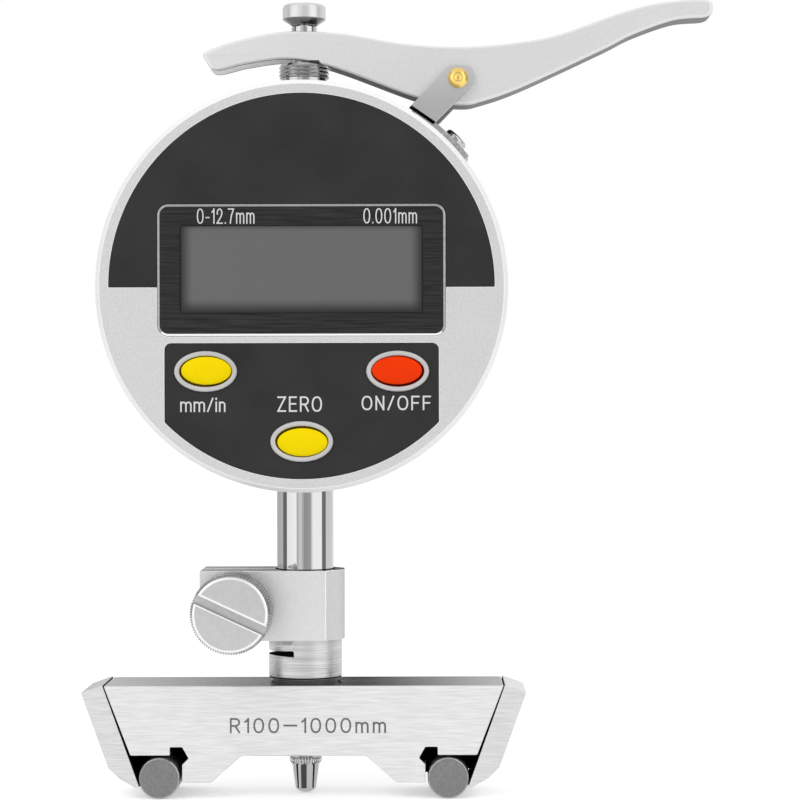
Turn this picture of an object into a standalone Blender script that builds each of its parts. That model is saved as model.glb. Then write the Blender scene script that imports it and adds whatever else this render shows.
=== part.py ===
"""Digital radius gauge: a dial-size digital indicator clamped in a base that stands on two rollers.

Metres, +Z up. The display faces -Y, the rollers stand on Z = 0, and the origin is in the middle of
the gauge as seen from above. Every piece is modelled with the stem's axis at X = Y = 0, and the
whole gauge is moved at the end.
"""

import math

import bmesh
import bpy
from mathutils import Matrix, Vector

MM = 0.001
DEG = math.pi / 180
QUARTER_TURN = 90.0 * DEG

# Clearances that every fit uses
FIT_GAP = 0.3 * MM
CLOSE_GAP = 0.22 * MM
OVERRUN = 3.0 * MM

# Facets of round forms, by size
CASE_FACETS = 60
LARGE_FACETS = 30
ROUND_FACETS = 18
SMALL_FACETS = 10
OVAL_FACETS = 20
HEX_FACETS = 6
CORNER_STEPS = 4
DOME_STEPS = 5

# Angles past which an edge is bevelled, and past which it stays sharp in shading
BEVEL_ANGLE = 40.0 * DEG
SHARP_ANGLE = 30.0 * DEG

# Rollers
ROLLER_RADIUS = 2.9 * MM
ROLLER_SPAN = 40.4 * MM
ROLLER_CHAMFER = 0.3 * MM

# Base bar
BAR_DEPTH = 12.5 * MM
BAR_TOP = 15.8 * MM
BAR_SIDE_TILT = 21.0 * DEG
BAR_CHAMFER = 0.18 * MM
FOOT_HEIGHT = 2.3 * MM
FOOT_LENGTH = 4.0 * MM
ARCH_CEILING = 6.0 * MM
ARCH_HALF_LENGTH = 8.7 * MM
RELIEF_LENGTH = 1.7 * MM
RELIEF_RISE = 1.0 * MM
RELIEF_DEPTH = 0.9 * MM
RELIEF_DROP = 1.4 * MM

# Side clamp plates and their screws
PLATE_TILT = 19.9 * DEG
PLATE_THICK = 3.0 * MM
PLATE_RISE = 0.1 * MM
PLATE_LENGTH = 15.2 * MM
PLATE_TOE_LENGTH = 4.0 * MM
PLATE_TOE_THICK = 0.25 * MM
PLATE_TOE_BELLY = 0.35 * MM
PLATE_CHAMFER = 0.2 * MM
PLATE_SCREW_DROP = 6.4 * MM
PLATE_SCREW_SHANK = 0.9 * MM
PLATE_SCREW_LENGTH = 7.5 * MM
PLATE_SCREW_HEAD = 1.9 * MM
PLATE_SCREW_HEAD_THICK = 1.4 * MM
PLATE_SCREW_KEY = 0.85 * MM
PLATE_SCREW_KEY_DEPTH = 0.8 * MM

# Stem clamp: spigot, sleeve and slit block in one piece
SPIGOT_RADIUS = 4.6 * MM
SPIGOT_DEPTH = 6.3 * MM
GROOVE_HEIGHT = 0.95 * MM
SLEEVE_RADIUS = 5.2 * MM
BLOCK_RISE = 6.2 * MM
BLOCK_HEIGHT = 9.8 * MM
BLOCK_DEPTH = 10.8 * MM
BLOCK_LEFT = 14.6 * MM
BLOCK_RIGHT = 5.6 * MM
BLOCK_CHAMFER = 0.2 * MM
NOSE_LENGTH = 2.5 * MM
NOSE_DEPTH = 3.6 * MM
JAW_SLIT = 0.9 * MM
SAW_CUT = 0.85 * MM
SAW_CUT_DROP = 1.9 * MM
SAW_CUT_END = 1.4 * MM
SHOULDER_DROP = 3.2 * MM
PASSAGE_RADIUS = 2.8 * MM

# Clamp thumb screw
KNOB_RADIUS = 5.55 * MM
KNOB_THICK = 9.0 * MM
KNOB_OFFSET = 9.65 * MM
KNOB_RISE = 4.4 * MM
KNOB_CHAMFER = 0.45 * MM
KNOB_STANDOFF = 0.5 * MM
KNOB_NECK = 3.6 * MM
KNOB_NECK_LENGTH = 0.2 * MM
KNOB_SHANK = 2.0 * MM
KNOB_SHANK_REACH = 4.9 * MM
KNOB_SLOT_WIDE = 1.25 * MM
KNOB_SLOT_DEEP = 1.3 * MM
KNOB_SLOT_TILT = -25.0 * DEG
KNURL_TEETH = 36
KNURL_DEPTH = 0.16 * MM

# Stem and its lower bush
STEM_RADIUS = 4.0 * MM
STEM_BORE = 3.0 * MM
STEM_FOOT_RISE = 2.7 * MM
STEM_SHOWN = 11.1 * MM
STEM_INSIDE_CASE = 1.0 * MM
STEM_CHAMFER = 0.25 * MM
LOWER_BUSH_LENGTH = 6.0 * MM
LOWER_BUSH_SETBACK = 0.4 * MM

# Indicator case
CASE_RADIUS = 28.6 * MM
CASE_FRONT = -10.0 * MM
CASE_BACK = 7.0 * MM
CASE_WALL = 2.5 * MM
CASE_FACE_THICK = 2.4 * MM
CASE_FRONT_CHAMFER = 0.55 * MM
CASE_BACK_CHAMFER = 0.3 * MM
PANEL_POCKET = 1.0 * MM
WINDOW_POCKET = 1.15 * MM
PANEL_THICK = 0.7 * MM
PANEL_INSET = 1.95 * MM
POST_RADIUS = 2.5 * MM
POST_INSET = 2.7 * MM
POST_CLEAR = 0.4 * MM

# Display
WINDOW_SIDE_INSET = 6.75 * MM
WINDOW_TOP_INSET = 15.35 * MM
WINDOW_CORNER = 1.5 * MM
WINDOW_PROUD = 0.15 * MM
SCREEN_SIDE_INSET = 3.1 * MM
SCREEN_TOP_INSET = 2.925 * MM
SCREEN_FOOT_INSET = 2.825 * MM
SCREEN_CORNER = 0.4 * MM
GLASS_RECESS = 0.75 * MM
MODULE_SIDE = 1.5 * MM
MODULE_EDGE = 1.325 * MM
MODULE_THICK = 1.7 * MM

# Keypad
KEYPAD_SIDE_INSET = 1.0 * MM
KEYPAD_MARGIN = 3.85 * MM
KEYPAD_BRIDGE = 1.35 * MM
KEYPAD_CORNER = 0.9 * MM
BUTTON_SIDE_INSET = 5.63 * MM
BUTTON_UPPER_INSET = 14.85 * MM
BUTTON_LOWER_INSET = 5.15 * MM
RIM_HALF_WIDE = 4.34 * MM
RIM_HALF_HIGH = 2.82 * MM
RIM_PROUD = 0.45 * MM
RIM_WALL = 0.6 * MM
BUTTON_PROUD = 0.85 * MM
BUTTON_CROWN = 0.3 * MM
BUTTON_FLANGE = 0.75 * MM
BUTTON_FLANGE_THICK = 0.6 * MM
BUTTON_PLUNGER = 1.2 * MM
BUTTON_PLUNGER_LENGTH = 0.6 * MM
BUTTON_TRAVEL = 0.5 * MM

# Circuit boards
BOARD_INSET = 0.7 * MM
BOARD_THICK = 0.9 * MM
BOARD_SETBACK = 0.6 * MM
DOME_RADIUS = 2.0 * MM
SENSOR_INNER = 4.0 * MM
SENSOR_MARGIN = 2.765 * MM
SENSOR_THICK = 0.8 * MM
HEADER_GAP = 0.5 * MM
HEADER_WIDE = 1.8 * MM
HEADER_HIGH = 10.0 * MM

# Spindle, its carrier and its guide
SPINDLE_RADIUS = 1.8 * MM
SPINDLE_TRAVEL = 12.7 * MM
SPINDLE_STUD = 1.0 * MM
STUD_LENGTH = 2.4 * MM
HUB_RADIUS = 3.25 * MM
HUB_RISE = 4.2 * MM
HUB_HEIGHT = 6.4 * MM
CARRIER_REACH = 8.7 * MM
CARRIER_HEIGHT = 18.0 * MM
CARRIER_THICK = 2.4 * MM
CARRIER_CLEAR = 3.4 * MM
GUIDE_PIN_RADIUS = 0.8 * MM
GUIDE_PIN_END = 7.4 * MM
GUIDE_PIN_RISE = 3.2 * MM
RAIL_INNER = 4.6 * MM
RAIL_OUTER = 8.8 * MM
RAIL_DEPTH = 5.6 * MM
RAIL_MARGIN = 3.7 * MM

# Return spring round the spindle
SPRING_RADIUS = 2.5 * MM
SPRING_WIRE = 0.22 * MM
SPRING_TURNS = 15
SPRING_POINTS_PER_TURN = 8
SPRING_SIDES = 4

# Upper bush, plunger cap and contact point
NECK_RADIUS = 3.6 * MM
NECK_RISE = 3.2 * MM
NECK_CHAMFER = 0.3 * MM
NECK_FLANGE_RADIUS = 4.8 * MM
NECK_FLANGE_THICK = 1.3 * MM
NECK_FLANGE_DROP = 0.7 * MM
NECK_UNDERCUT = 0.35 * MM
NECK_UNDERCUT_HEIGHT = 0.8 * MM
NECK_UNDERCUT_RISE = 1.0 * MM
CAP_RADIUS = 3.05 * MM
CAP_RISE = 5.6 * MM
CAP_TAPER_HEIGHT = 0.75 * MM
CAP_TAPER_INSET = 0.95 * MM
CAP_HEIGHT = 3.15 * MM
CAP_CORNER = 0.45 * MM
CONTACT_TIP = 0.1 * MM
CONTACT_COLLAR_RADIUS = 2.3 * MM
CONTACT_COLLAR_HEIGHT = 0.9 * MM
CONTACT_LENGTH = 5.1 * MM
CONTACT_GROOVE = 0.2 * MM
CONTACT_GROOVE_RISE = 0.3 * MM
CONTACT_ROOT_RADIUS = 1.95 * MM
CONTACT_END_RADIUS = 1.55 * MM
CONTACT_DOME = 0.95 * MM

# Lift lever, its bracket and its pin
PIVOT_OUT = 7.983 * MM
PIVOT_ANGLE = 53.481 * DEG
PIVOT_PIN_RADIUS = 0.9 * MM
PIVOT_HEAD_RADIUS = 1.4 * MM
PIVOT_HEAD_THICK = 0.75 * MM
PIVOT_DIMPLE_RADIUS = 0.45 * MM
PIVOT_DIMPLE_DEPTH = 0.35 * MM
PIVOT_TAIL_RADIUS = 1.2 * MM
PIVOT_TAIL_THICK = 0.5 * MM
LEVER_ARM = 36.0 * MM
LEVER_DEPTH = 6.4 * MM
LEVER_EDGE = 0.3 * MM
FORK_GAP = 4.3 * MM
FORK_SLOT_END = 1.0 * MM
FORK_ROOT_RADIUS = 1.6 * MM
LEVER_UPPER_SHARES = (
    (-0.996, 0.108),
    (-0.879, 0.149),
    (-0.723, 0.183),
    (-0.600, 0.189),
    (-0.437, 0.178),
    (-0.204, 0.139),
    (0.028, 0.127),
    (0.243, 0.145),
    (0.404, 0.177),
    (0.644, 0.261),
    (0.803, 0.299),
    (0.972, 0.309),
    (0.998, 0.277),
)
LEVER_LOWER_SHARES = (
    (0.975, 0.243),
    (0.844, 0.229),
    (0.684, 0.173),
    (0.564, 0.113),
    (0.245, -0.034),
    (0.085, -0.090),
    (0.012, -0.102),
    (-0.097, -0.090),
    (-0.204, -0.058),
    (-0.437, 0.030),
    (-0.560, 0.066),
    (-0.682, 0.081),
    (-0.826, 0.063),
    (-0.960, 0.036),
    (-0.994, 0.070),
)
CURVE_STEPS = 2
EAR_THICK = 0.9 * MM
EAR_WIDE = 4.1 * MM
EAR_TILT = 45.7 * DEG
EAR_END_SHARES = ((1.05, -0.26), (1.05, 0.53), (0.78, 0.84), (-0.47, 0.89), (-0.79, 0.69))
EAR_SHOULDER_LOW = 1.0 * MM
EAR_SHOULDER_HIGH = 0.5 * MM
STRAP_THICK = 0.8 * MM
STRAP_START_ANGLE = 38.5 * DEG
STRAP_END_ANGLE = 57.5 * DEG
STRAP_WIDE_END_ANGLE = 51.0 * DEG
STRAP_STEP_ANGLE = 2.0 * DEG
STRAP_EAR_LAP = 0.4 * MM
STRAP_SCREW_ANGLE = 44.6 * DEG
STRAP_SCREW_SHANK = 0.8 * MM
STRAP_SCREW_LENGTH = 2.7 * MM
STRAP_SCREW_HEAD = 1.75 * MM
STRAP_SCREW_HEAD_THICK = 0.95 * MM
STRAP_SCREW_SLOT = 0.45 * MM
STRAP_SCREW_SLOT_DEPTH = 0.5 * MM

# Rear cover, battery and battery cover
REAR_THICK = 2.0 * MM
REAR_CHAMFER = 0.5 * MM
REAR_SCREW_SHANK = 0.8 * MM
REAR_SCREW_HEAD = 1.8 * MM
REAR_SCREW_HEAD_THICK = 1.0 * MM
REAR_SCREW_LENGTH = 5.0 * MM
REAR_SCREW_SLOT = 0.5 * MM
REAR_SCREW_SLOT_LONG = 2.6 * MM
REAR_SCREW_SLOT_DEPTH = 0.5 * MM
BATTERY_RADIUS = 8.0 * MM
BATTERY_THICK = 2.6 * MM
BATTERY_DROP = 8.5 * MM
BATTERY_EDGE = 0.3 * MM
LID_RADIUS = 9.0 * MM
LID_PROUD = 0.2 * MM
LID_CHAMFER = 0.35 * MM
LID_SLOT_LONG = 10.0 * MM
LID_SLOT_WIDE = 1.6 * MM
LID_SLOT_DEEP = 0.9 * MM

# Places that several pieces share
BAR_HALF_DEPTH = BAR_DEPTH / 2
ROLLER_X = ROLLER_SPAN / 2
POCKET_CEILING = 2 * ROLLER_RADIUS + FIT_GAP
POCKET_WALL = ROLLER_X - ROLLER_RADIUS - FIT_GAP
PLATE_NORMAL = Vector((math.cos(PLATE_TILT), -math.sin(PLATE_TILT)))
PLATE_DOWN = Vector((-math.sin(PLATE_TILT), -math.cos(PLATE_TILT)))
PLATE_DISTANCE = PLATE_NORMAL.dot(Vector((ROLLER_X, ROLLER_RADIUS))) + ROLLER_RADIUS + FIT_GAP
PLATE_TOP = BAR_TOP + PLATE_RISE
BLOCK_BASE = BAR_TOP + BLOCK_RISE
BLOCK_TOP = BLOCK_BASE + BLOCK_HEIGHT
BLOCK_FRONT = -BLOCK_DEPTH / 2
SLEEVE_BASE = BAR_TOP + GROOVE_HEIGHT
SAW_CUT_Z = BLOCK_BASE - SAW_CUT_DROP
SHOULDER_Z = BLOCK_BASE - SHOULDER_DROP
STEM_FOOT = SHOULDER_Z + STEM_FOOT_RISE
STEM_HOLE = STEM_RADIUS + FIT_GAP
SPINDLE_HOLE = SPINDLE_RADIUS + FIT_GAP
KNOB_Z = BLOCK_BASE + KNOB_RISE
KNOB_BACK = BLOCK_FRONT - KNOB_STANDOFF
KNOB_FRONT = KNOB_BACK - KNOB_THICK
CASE_CENTRE = BLOCK_TOP + STEM_SHOWN + CASE_RADIUS
CASE_TOP = CASE_CENTRE + CASE_RADIUS
CASE_INNER = CASE_RADIUS - CASE_WALL
CASE_FLOOR = CASE_FRONT + CASE_FACE_THICK
CAVITY_BOTTOM = CASE_CENTRE - CASE_INNER
CAVITY_TOP = CASE_CENTRE + CASE_INNER
STEM_TOP = CAVITY_BOTTOM + STEM_INSIDE_CASE
POST_CIRCLE = CASE_INNER - POST_INSET
POST_X = RAIL_OUTER + POST_RADIUS + POST_CLEAR
POST_RISE = math.sqrt(POST_CIRCLE**2 - POST_X**2)
PANEL_RADIUS = CASE_RADIUS - PANEL_INSET
BUTTON_UPPER_Z = CASE_CENTRE - PANEL_RADIUS + BUTTON_UPPER_INSET
BUTTON_LOWER_Z = CASE_CENTRE - PANEL_RADIUS + BUTTON_LOWER_INSET
KEYPAD_TOP = BUTTON_UPPER_Z + KEYPAD_MARGIN
WINDOW_FOOT = KEYPAD_TOP + KEYPAD_BRIDGE
WINDOW_TOP = CASE_CENTRE + PANEL_RADIUS - WINDOW_TOP_INSET
WINDOW_HALF_WIDE = PANEL_RADIUS - WINDOW_SIDE_INSET
WINDOW_WIDE = 2 * WINDOW_HALF_WIDE
WINDOW_HIGH = WINDOW_TOP - WINDOW_FOOT
WINDOW_Z = (WINDOW_TOP + WINDOW_FOOT) / 2
SCREEN_WIDE = WINDOW_WIDE - 2 * SCREEN_SIDE_INSET
SCREEN_HIGH = WINDOW_HIGH - SCREEN_TOP_INSET - SCREEN_FOOT_INSET
SCREEN_Z = WINDOW_Z + (SCREEN_FOOT_INSET - SCREEN_TOP_INSET) / 2
MODULE_WIDE = SCREEN_WIDE + 2 * MODULE_SIDE
MODULE_HIGH = SCREEN_HIGH + 2 * MODULE_EDGE
KEYPAD_HALF_WIDE = WINDOW_HALF_WIDE - KEYPAD_SIDE_INSET
BUTTON_SIDE = KEYPAD_HALF_WIDE - BUTTON_SIDE_INSET
PANEL_BACK = CASE_FRONT + PANEL_THICK
MODULE_FRONT = CASE_FLOOR + FIT_GAP
MODULE_BACK = MODULE_FRONT + MODULE_THICK
BOARD_RADIUS = CASE_INNER - BOARD_INSET
SENSOR_HIGH = 2 * (POST_RISE - POST_RADIUS - SENSOR_MARGIN)
BOARD_FRONT = MODULE_BACK + BOARD_SETBACK
BOARD_BACK = BOARD_FRONT + BOARD_THICK
BUTTON_HALF_WIDE = RIM_HALF_WIDE - RIM_WALL - CLOSE_GAP
BUTTON_HALF_HIGH = RIM_HALF_HIGH - RIM_WALL - CLOSE_GAP
FLANGE_FRONT = CASE_FLOOR + FIT_GAP
FLANGE_BACK = FLANGE_FRONT + BUTTON_FLANGE_THICK
PLUNGER_END = FLANGE_BACK + BUTTON_PLUNGER_LENGTH
DOME_TOP = PLUNGER_END + BUTTON_TRAVEL + CLOSE_GAP / 2
NECK_TOP = CASE_TOP + NECK_RISE
CAP_BASE = NECK_TOP + CAP_RISE
CONTACT_TOP = CONTACT_TIP + CONTACT_LENGTH
SPINDLE_FOOT = CONTACT_TOP + FIT_GAP
SPINDLE_SHOULDER = CAP_BASE - FIT_GAP
HUB_BASE = CAVITY_BOTTOM + HUB_RISE
HUB_TOP = HUB_BASE + HUB_HEIGHT
GUIDE_PIN_Z = HUB_BASE + GUIDE_PIN_RISE
RAIL_BASE = CASE_CENTRE - math.sqrt(CASE_INNER**2 - RAIL_OUTER**2) + FIT_GAP
RAIL_TOP = GUIDE_PIN_Z + SPINDLE_TRAVEL + RAIL_MARGIN
NECK_FLANGE_TOP = CAVITY_TOP - NECK_FLANGE_DROP
NECK_FOOT = NECK_FLANGE_TOP - NECK_FLANGE_THICK
REAR_FRONT = CASE_BACK + FIT_GAP
REAR_BACK = REAR_FRONT + REAR_THICK
REAR_RADIUS = CASE_RADIUS - FIT_GAP
BATTERY_Z = CASE_CENTRE - BATTERY_DROP
PIVOT_X = (CASE_RADIUS + PIVOT_OUT) * math.cos(PIVOT_ANGLE)
PIVOT_Z = CASE_CENTRE + (CASE_RADIUS + PIVOT_OUT) * math.sin(PIVOT_ANGLE)
EAR_INNER = LEVER_DEPTH / 2 + FIT_GAP
EAR_OUTER = EAR_INNER + EAR_THICK
STRAP_INNER = CASE_RADIUS + FIT_GAP
STRAP_OUTER = STRAP_INNER + STRAP_THICK
BUTTON_PLACES = {
    "unit_button": (-BUTTON_SIDE, BUTTON_UPPER_Z),
    "power_button": (BUTTON_SIDE, BUTTON_UPPER_Z),
    "zero_button": (0.0, BUTTON_LOWER_Z),
}
SIDES = {"left": -1, "right": 1}

# Ways to lay a flat outline (a, b) and sweep it along the third axis
TOP_VIEW = Matrix.Identity(4)
FRONT_VIEW = Matrix(((1, 0, 0, 0), (0, 0, 1, 0), (0, 1, 0, 0), (0, 0, 0, 1)))


def clear_scene():
    for obj in list(bpy.data.objects):
        bpy.data.objects.remove(obj, do_unlink=True)


def finish(name, colour, metallic, roughness):
    """A Principled material of one colour, given as three linear values."""
    material = bpy.data.materials.new(name)
    material.use_nodes = True
    shader = material.node_tree.nodes["Principled BSDF"]
    shader.inputs["Base Color"].default_value = (*colour, 1.0)
    shader.inputs["Metallic"].default_value = metallic
    shader.inputs["Roughness"].default_value = roughness
    material.diffuse_color = (*colour, 1.0)
    return material


def solid_from(bm, name, place):
    """The object of this bmesh, with its faces turned outwards."""
    bmesh.ops.transform(bm, matrix=place, verts=bm.verts)
    bmesh.ops.recalc_face_normals(bm, faces=bm.faces)
    mesh = bpy.data.meshes.new(name)
    bm.to_mesh(mesh)
    bm.free()
    obj = bpy.data.objects.new(name, mesh)
    bpy.context.scene.collection.objects.link(obj)
    return obj


def slab(name, outline, low, high, place=FRONT_VIEW):
    """The flat outline swept straight from low to high."""
    bm = bmesh.new()
    ends = [[bm.verts.new((a, b, c)) for a, b in outline] for c in (low, high)]
    for end in ends:
        bm.faces.new(end)
    count = len(outline)
    for i in range(count):
        j = (i + 1) % count
        bm.faces.new((ends[0][i], ends[0][j], ends[1][j], ends[1][i]))
    return solid_from(bm, name, place)


def turned(name, profile, place, sides=ROUND_FACETS, ring=False):
    """The profile of (radius, height) pairs swung round the place's Z axis. A ring closes on itself."""
    bm = bmesh.new()
    turns = [2 * math.pi * i / sides for i in range(sides)]
    rows = []
    for radius, height in profile:
        if radius == 0:
            rows.append(None)
        else:
            spots = [(radius * math.cos(t), radius * math.sin(t), height) for t in turns]
            rows.append([bm.verts.new(spot) for spot in spots])
    pairs = list(zip(rows, rows[1:]))
    heights = [height for _, height in profile]
    if ring:
        pairs.append((rows[-1], rows[0]))
    for number, (low, high) in enumerate(pairs):
        if low and high:
            for i in range(sides):
                j = (i + 1) % sides
                bm.faces.new((low[i], low[j], high[j], high[i]))
            continue
        edge = low or high
        if heights[number] == heights[number + 1]:
            bm.faces.new(edge)
            continue
        tip = bm.verts.new((0, 0, heights[number] if high else heights[number + 1]))
        for i in range(sides):
            bm.faces.new((edge[i], edge[(i + 1) % sides], tip))
    return solid_from(bm, name, place)


def round_bar(name, radius, low, high, place, sides=ROUND_FACETS):
    return turned(name, ((0, low), (radius, low), (radius, high), (0, high)), place, sides)


def combine(body, others, operation):
    """The body after a Boolean with each of the others, which are used up."""
    for other in others:
        step = body.modifiers.new(operation.lower(), "BOOLEAN")
        step.operation = operation
        step.solver = "EXACT"
        step.object = other
    graph = bpy.context.evaluated_depsgraph_get()
    body_mesh = bpy.data.meshes.new_from_object(body.evaluated_get(graph))
    body.modifiers.clear()
    body.data = body_mesh
    body_mesh.name = body.name
    for other in others:
        bpy.data.objects.remove(other, do_unlink=True)
    return body


def cut(body, *cutters):
    return combine(body, cutters, "DIFFERENCE")


def join(body, *others):
    return combine(body, others, "UNION")


def soften(body, width, segments=1):
    """The body with its sharp edges bevelled."""
    step = body.modifiers.new("edge", "BEVEL")
    step.width = width
    step.segments = segments
    step.limit_method = "ANGLE"
    step.angle_limit = BEVEL_ANGLE
    graph = bpy.context.evaluated_depsgraph_get()
    mesh = bpy.data.meshes.new_from_object(body.evaluated_get(graph))
    body.modifiers.clear()
    body.data = mesh
    return body


def upright(x=0.0, y=0.0):
    return Matrix.Translation((x, y, 0.0))


def rearward(x, z):
    """A turned piece's axis along +Y through x, z."""
    return Matrix.Translation((x, 0.0, z)) @ Matrix.Rotation(-QUARTER_TURN, 4, "X")


def radial(angle):
    """A turned piece's axis out of the case's centre, at this angle above +X."""
    return Matrix.Translation((0.0, 0.0, CASE_CENTRE)) @ Matrix.Rotation(QUARTER_TURN - angle, 4, "Y")


def circle(radius, count, x=0.0, z=0.0):
    turns = [2 * math.pi * i / count for i in range(count)]
    return [(x + radius * math.cos(t), z + radius * math.sin(t)) for t in turns]


def ellipse(half_wide, half_high, x, z, count=OVAL_FACETS):
    turns = [2 * math.pi * i / count for i in range(count)]
    return [(x + half_wide * math.cos(t), z + half_high * math.sin(t)) for t in turns]


def arc(radius, start, end, count, x=0.0, z=0.0):
    turns = [start + (end - start) * i / count for i in range(count + 1)]
    return [(x + radius * math.cos(t), z + radius * math.sin(t)) for t in turns]


def box_outline(wide, high, x=0.0, z=0.0):
    return [(x + a * wide / 2, z + b * high / 2) for a, b in ((-1, -1), (1, -1), (1, 1), (-1, 1))]


def rounded_box(wide, high, corner, x, z, steps=CORNER_STEPS):
    """A rectangle with round corners."""
    points = []
    for quarter, (a, b) in enumerate(((1, 1), (-1, 1), (-1, -1), (1, -1))):
        start = quarter * QUARTER_TURN
        centre_x = x + a * (wide / 2 - corner)
        centre_z = z + b * (high / 2 - corner)
        points += arc(corner, start, start + QUARTER_TURN, steps, centre_x, centre_z)
    return points


def smooth_loop(points, steps):
    """A closed Catmull-Rom curve through the points."""
    count = len(points)
    result = []
    for i in range(count):
        before, first, second, after = (Vector(points[(i + k) % count]) for k in (-1, 0, 1, 2))
        for step in range(steps):
            t = step / steps
            spot = 2 * first + (second - before) * t
            spot += (2 * before - 5 * first + 4 * second - after) * t * t
            spot += (3 * first - before - 3 * second + after) * t * t * t
            result.append(tuple(spot / 2))
    return result


def plate_point(down, out):
    """A point of the right-hand side plate, from its inner top corner."""
    corner_x = (PLATE_DISTANCE + PLATE_TOP * math.sin(PLATE_TILT)) / math.cos(PLATE_TILT)
    return Vector((corner_x, PLATE_TOP)) + PLATE_DOWN * down + PLATE_NORMAL * out


def plate_screw_place(side):
    """A turned piece's axis into the bar through a side plate's screw hole."""
    spot = plate_point(PLATE_SCREW_DROP, 0.0)
    inward = Vector((-side * PLATE_NORMAL.x, 0.0, -PLATE_NORMAL.y))
    turn = Vector((0, 0, 1)).rotation_difference(inward).to_matrix().to_4x4()
    return Matrix.Translation((side * spot.x, 0.0, spot.y)) @ turn


def bar_half():
    """The right half of the bar's outline, from the middle of the arch to the top corner."""
    foot_end = POCKET_WALL - FOOT_LENGTH
    slot_left = POCKET_WALL
    slot_right = POCKET_WALL + RELIEF_LENGTH
    slot_top = POCKET_CEILING + RELIEF_RISE
    gap_across = FIT_GAP / math.cos(PLATE_TILT)
    top_x = plate_point(0.0, 0.0).x - (PLATE_TOP - BAR_TOP) * math.tan(PLATE_TILT) - gap_across
    pocket_x = top_x - (BAR_TOP - POCKET_CEILING) * math.tan(BAR_SIDE_TILT)
    return [
        (ARCH_HALF_LENGTH, ARCH_CEILING),
        (foot_end, FOOT_HEIGHT),
        (POCKET_WALL, FOOT_HEIGHT),
        (POCKET_WALL, POCKET_CEILING - RELIEF_DROP),
        (slot_left - RELIEF_DEPTH, POCKET_CEILING - RELIEF_DROP + RELIEF_DEPTH),
        (slot_left, slot_top),
        (slot_right, slot_top),
        (slot_right, POCKET_CEILING),
        (pocket_x, POCKET_CEILING),
        (top_x, BAR_TOP),
    ]


def base_bar():
    """Ground bar with two roller pockets, corner reliefs and a bore for the clamp's spigot."""
    right = bar_half()
    left = [(-x, z) for x, z in reversed(right)]
    bar = slab("base_bar", right + left, -BAR_HALF_DEPTH, BAR_HALF_DEPTH)
    soften(bar, BAR_CHAMFER)
    axis = upright()
    socket_radius = SPIGOT_RADIUS + FIT_GAP
    socket_floor = BAR_TOP - SPIGOT_DEPTH - FIT_GAP
    cutters = [
        round_bar("socket", socket_radius, socket_floor, BAR_TOP + OVERRUN, axis, LARGE_FACETS),
        round_bar("passage", PASSAGE_RADIUS, ARCH_CEILING - OVERRUN, BAR_TOP, axis),
    ]
    thread_radius = PLATE_SCREW_SHANK + FIT_GAP
    thread_end = PLATE_SCREW_LENGTH - PLATE_THICK + FIT_GAP
    for side in SIDES.values():
        place = plate_screw_place(side)
        cutters.append(round_bar("thread", thread_radius, -OVERRUN, thread_end, place, SMALL_FACETS))
    return cut(bar, *cutters)


def side_plate(side_name, side):
    """Sloping slab whose toe holds a roller in its pocket."""
    heel = PLATE_LENGTH - PLATE_TOE_LENGTH
    mid_down = heel + PLATE_TOE_LENGTH / 2
    mid_out = (PLATE_THICK + PLATE_TOE_THICK) / 2 + PLATE_TOE_BELLY
    corners = [
        plate_point(0.0, 0.0),
        plate_point(0.0, PLATE_THICK),
        plate_point(heel, PLATE_THICK),
        plate_point(mid_down, mid_out),
        plate_point(PLATE_LENGTH, PLATE_TOE_THICK),
        plate_point(PLATE_LENGTH, 0.0),
    ]
    outline = [(side * corner.x, corner.y) for corner in corners]
    plate = slab("side_plate_" + side_name, outline, -BAR_HALF_DEPTH, BAR_HALF_DEPTH)
    soften(plate, PLATE_CHAMFER / 2)
    place = plate_screw_place(side)
    outside = -PLATE_THICK - OVERRUN
    hole = round_bar("hole", PLATE_SCREW_SHANK + FIT_GAP, outside, OVERRUN, place, SMALL_FACETS)
    seat_floor = PLATE_SCREW_HEAD_THICK - PLATE_THICK + FIT_GAP
    seat = round_bar("seat", PLATE_SCREW_HEAD + FIT_GAP, outside, seat_floor, place)
    return cut(plate, hole, seat)


def plate_screw(side_name, side):
    """Socket screw that draws a side plate towards the bar."""
    place = plate_screw_place(side)
    head_face = -PLATE_THICK
    under_head = head_face + PLATE_SCREW_HEAD_THICK
    profile = (
        (0, head_face),
        (PLATE_SCREW_HEAD, head_face),
        (PLATE_SCREW_HEAD, under_head),
        (PLATE_SCREW_SHANK, under_head),
        (PLATE_SCREW_SHANK, head_face + PLATE_SCREW_LENGTH),
        (0, head_face + PLATE_SCREW_LENGTH),
    )
    screw = turned("plate_screw_" + side_name, profile, place)
    key_floor = head_face + PLATE_SCREW_KEY_DEPTH
    key = round_bar("key", PLATE_SCREW_KEY, head_face - OVERRUN, key_floor, place, HEX_FACETS)
    return cut(screw, key)


def roller(side_name, side):
    """Hardened contact roller lying in its pocket."""
    inner = ROLLER_RADIUS - ROLLER_CHAMFER
    end = BAR_HALF_DEPTH
    step = BAR_HALF_DEPTH - ROLLER_CHAMFER
    profile = (
        (0, -end),
        (inner, -end),
        (ROLLER_RADIUS, -step),
        (ROLLER_RADIUS, step),
        (inner, end),
        (0, end),
    )
    return turned("roller_" + side_name, profile, rearward(side * ROLLER_X, ROLLER_RADIUS), LARGE_FACETS)


def block_outline():
    """The clamp block from above, with a nose that narrows round the bore."""
    half = BLOCK_DEPTH / 2
    nose_x = BLOCK_RIGHT - NOSE_LENGTH
    nose_y = half - NOSE_DEPTH
    return [
        (-BLOCK_LEFT, -half),
        (nose_x, -half),
        (BLOCK_RIGHT, -nose_y),
        (BLOCK_RIGHT, nose_y),
        (nose_x, half),
        (-BLOCK_LEFT, half),
    ]


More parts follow.
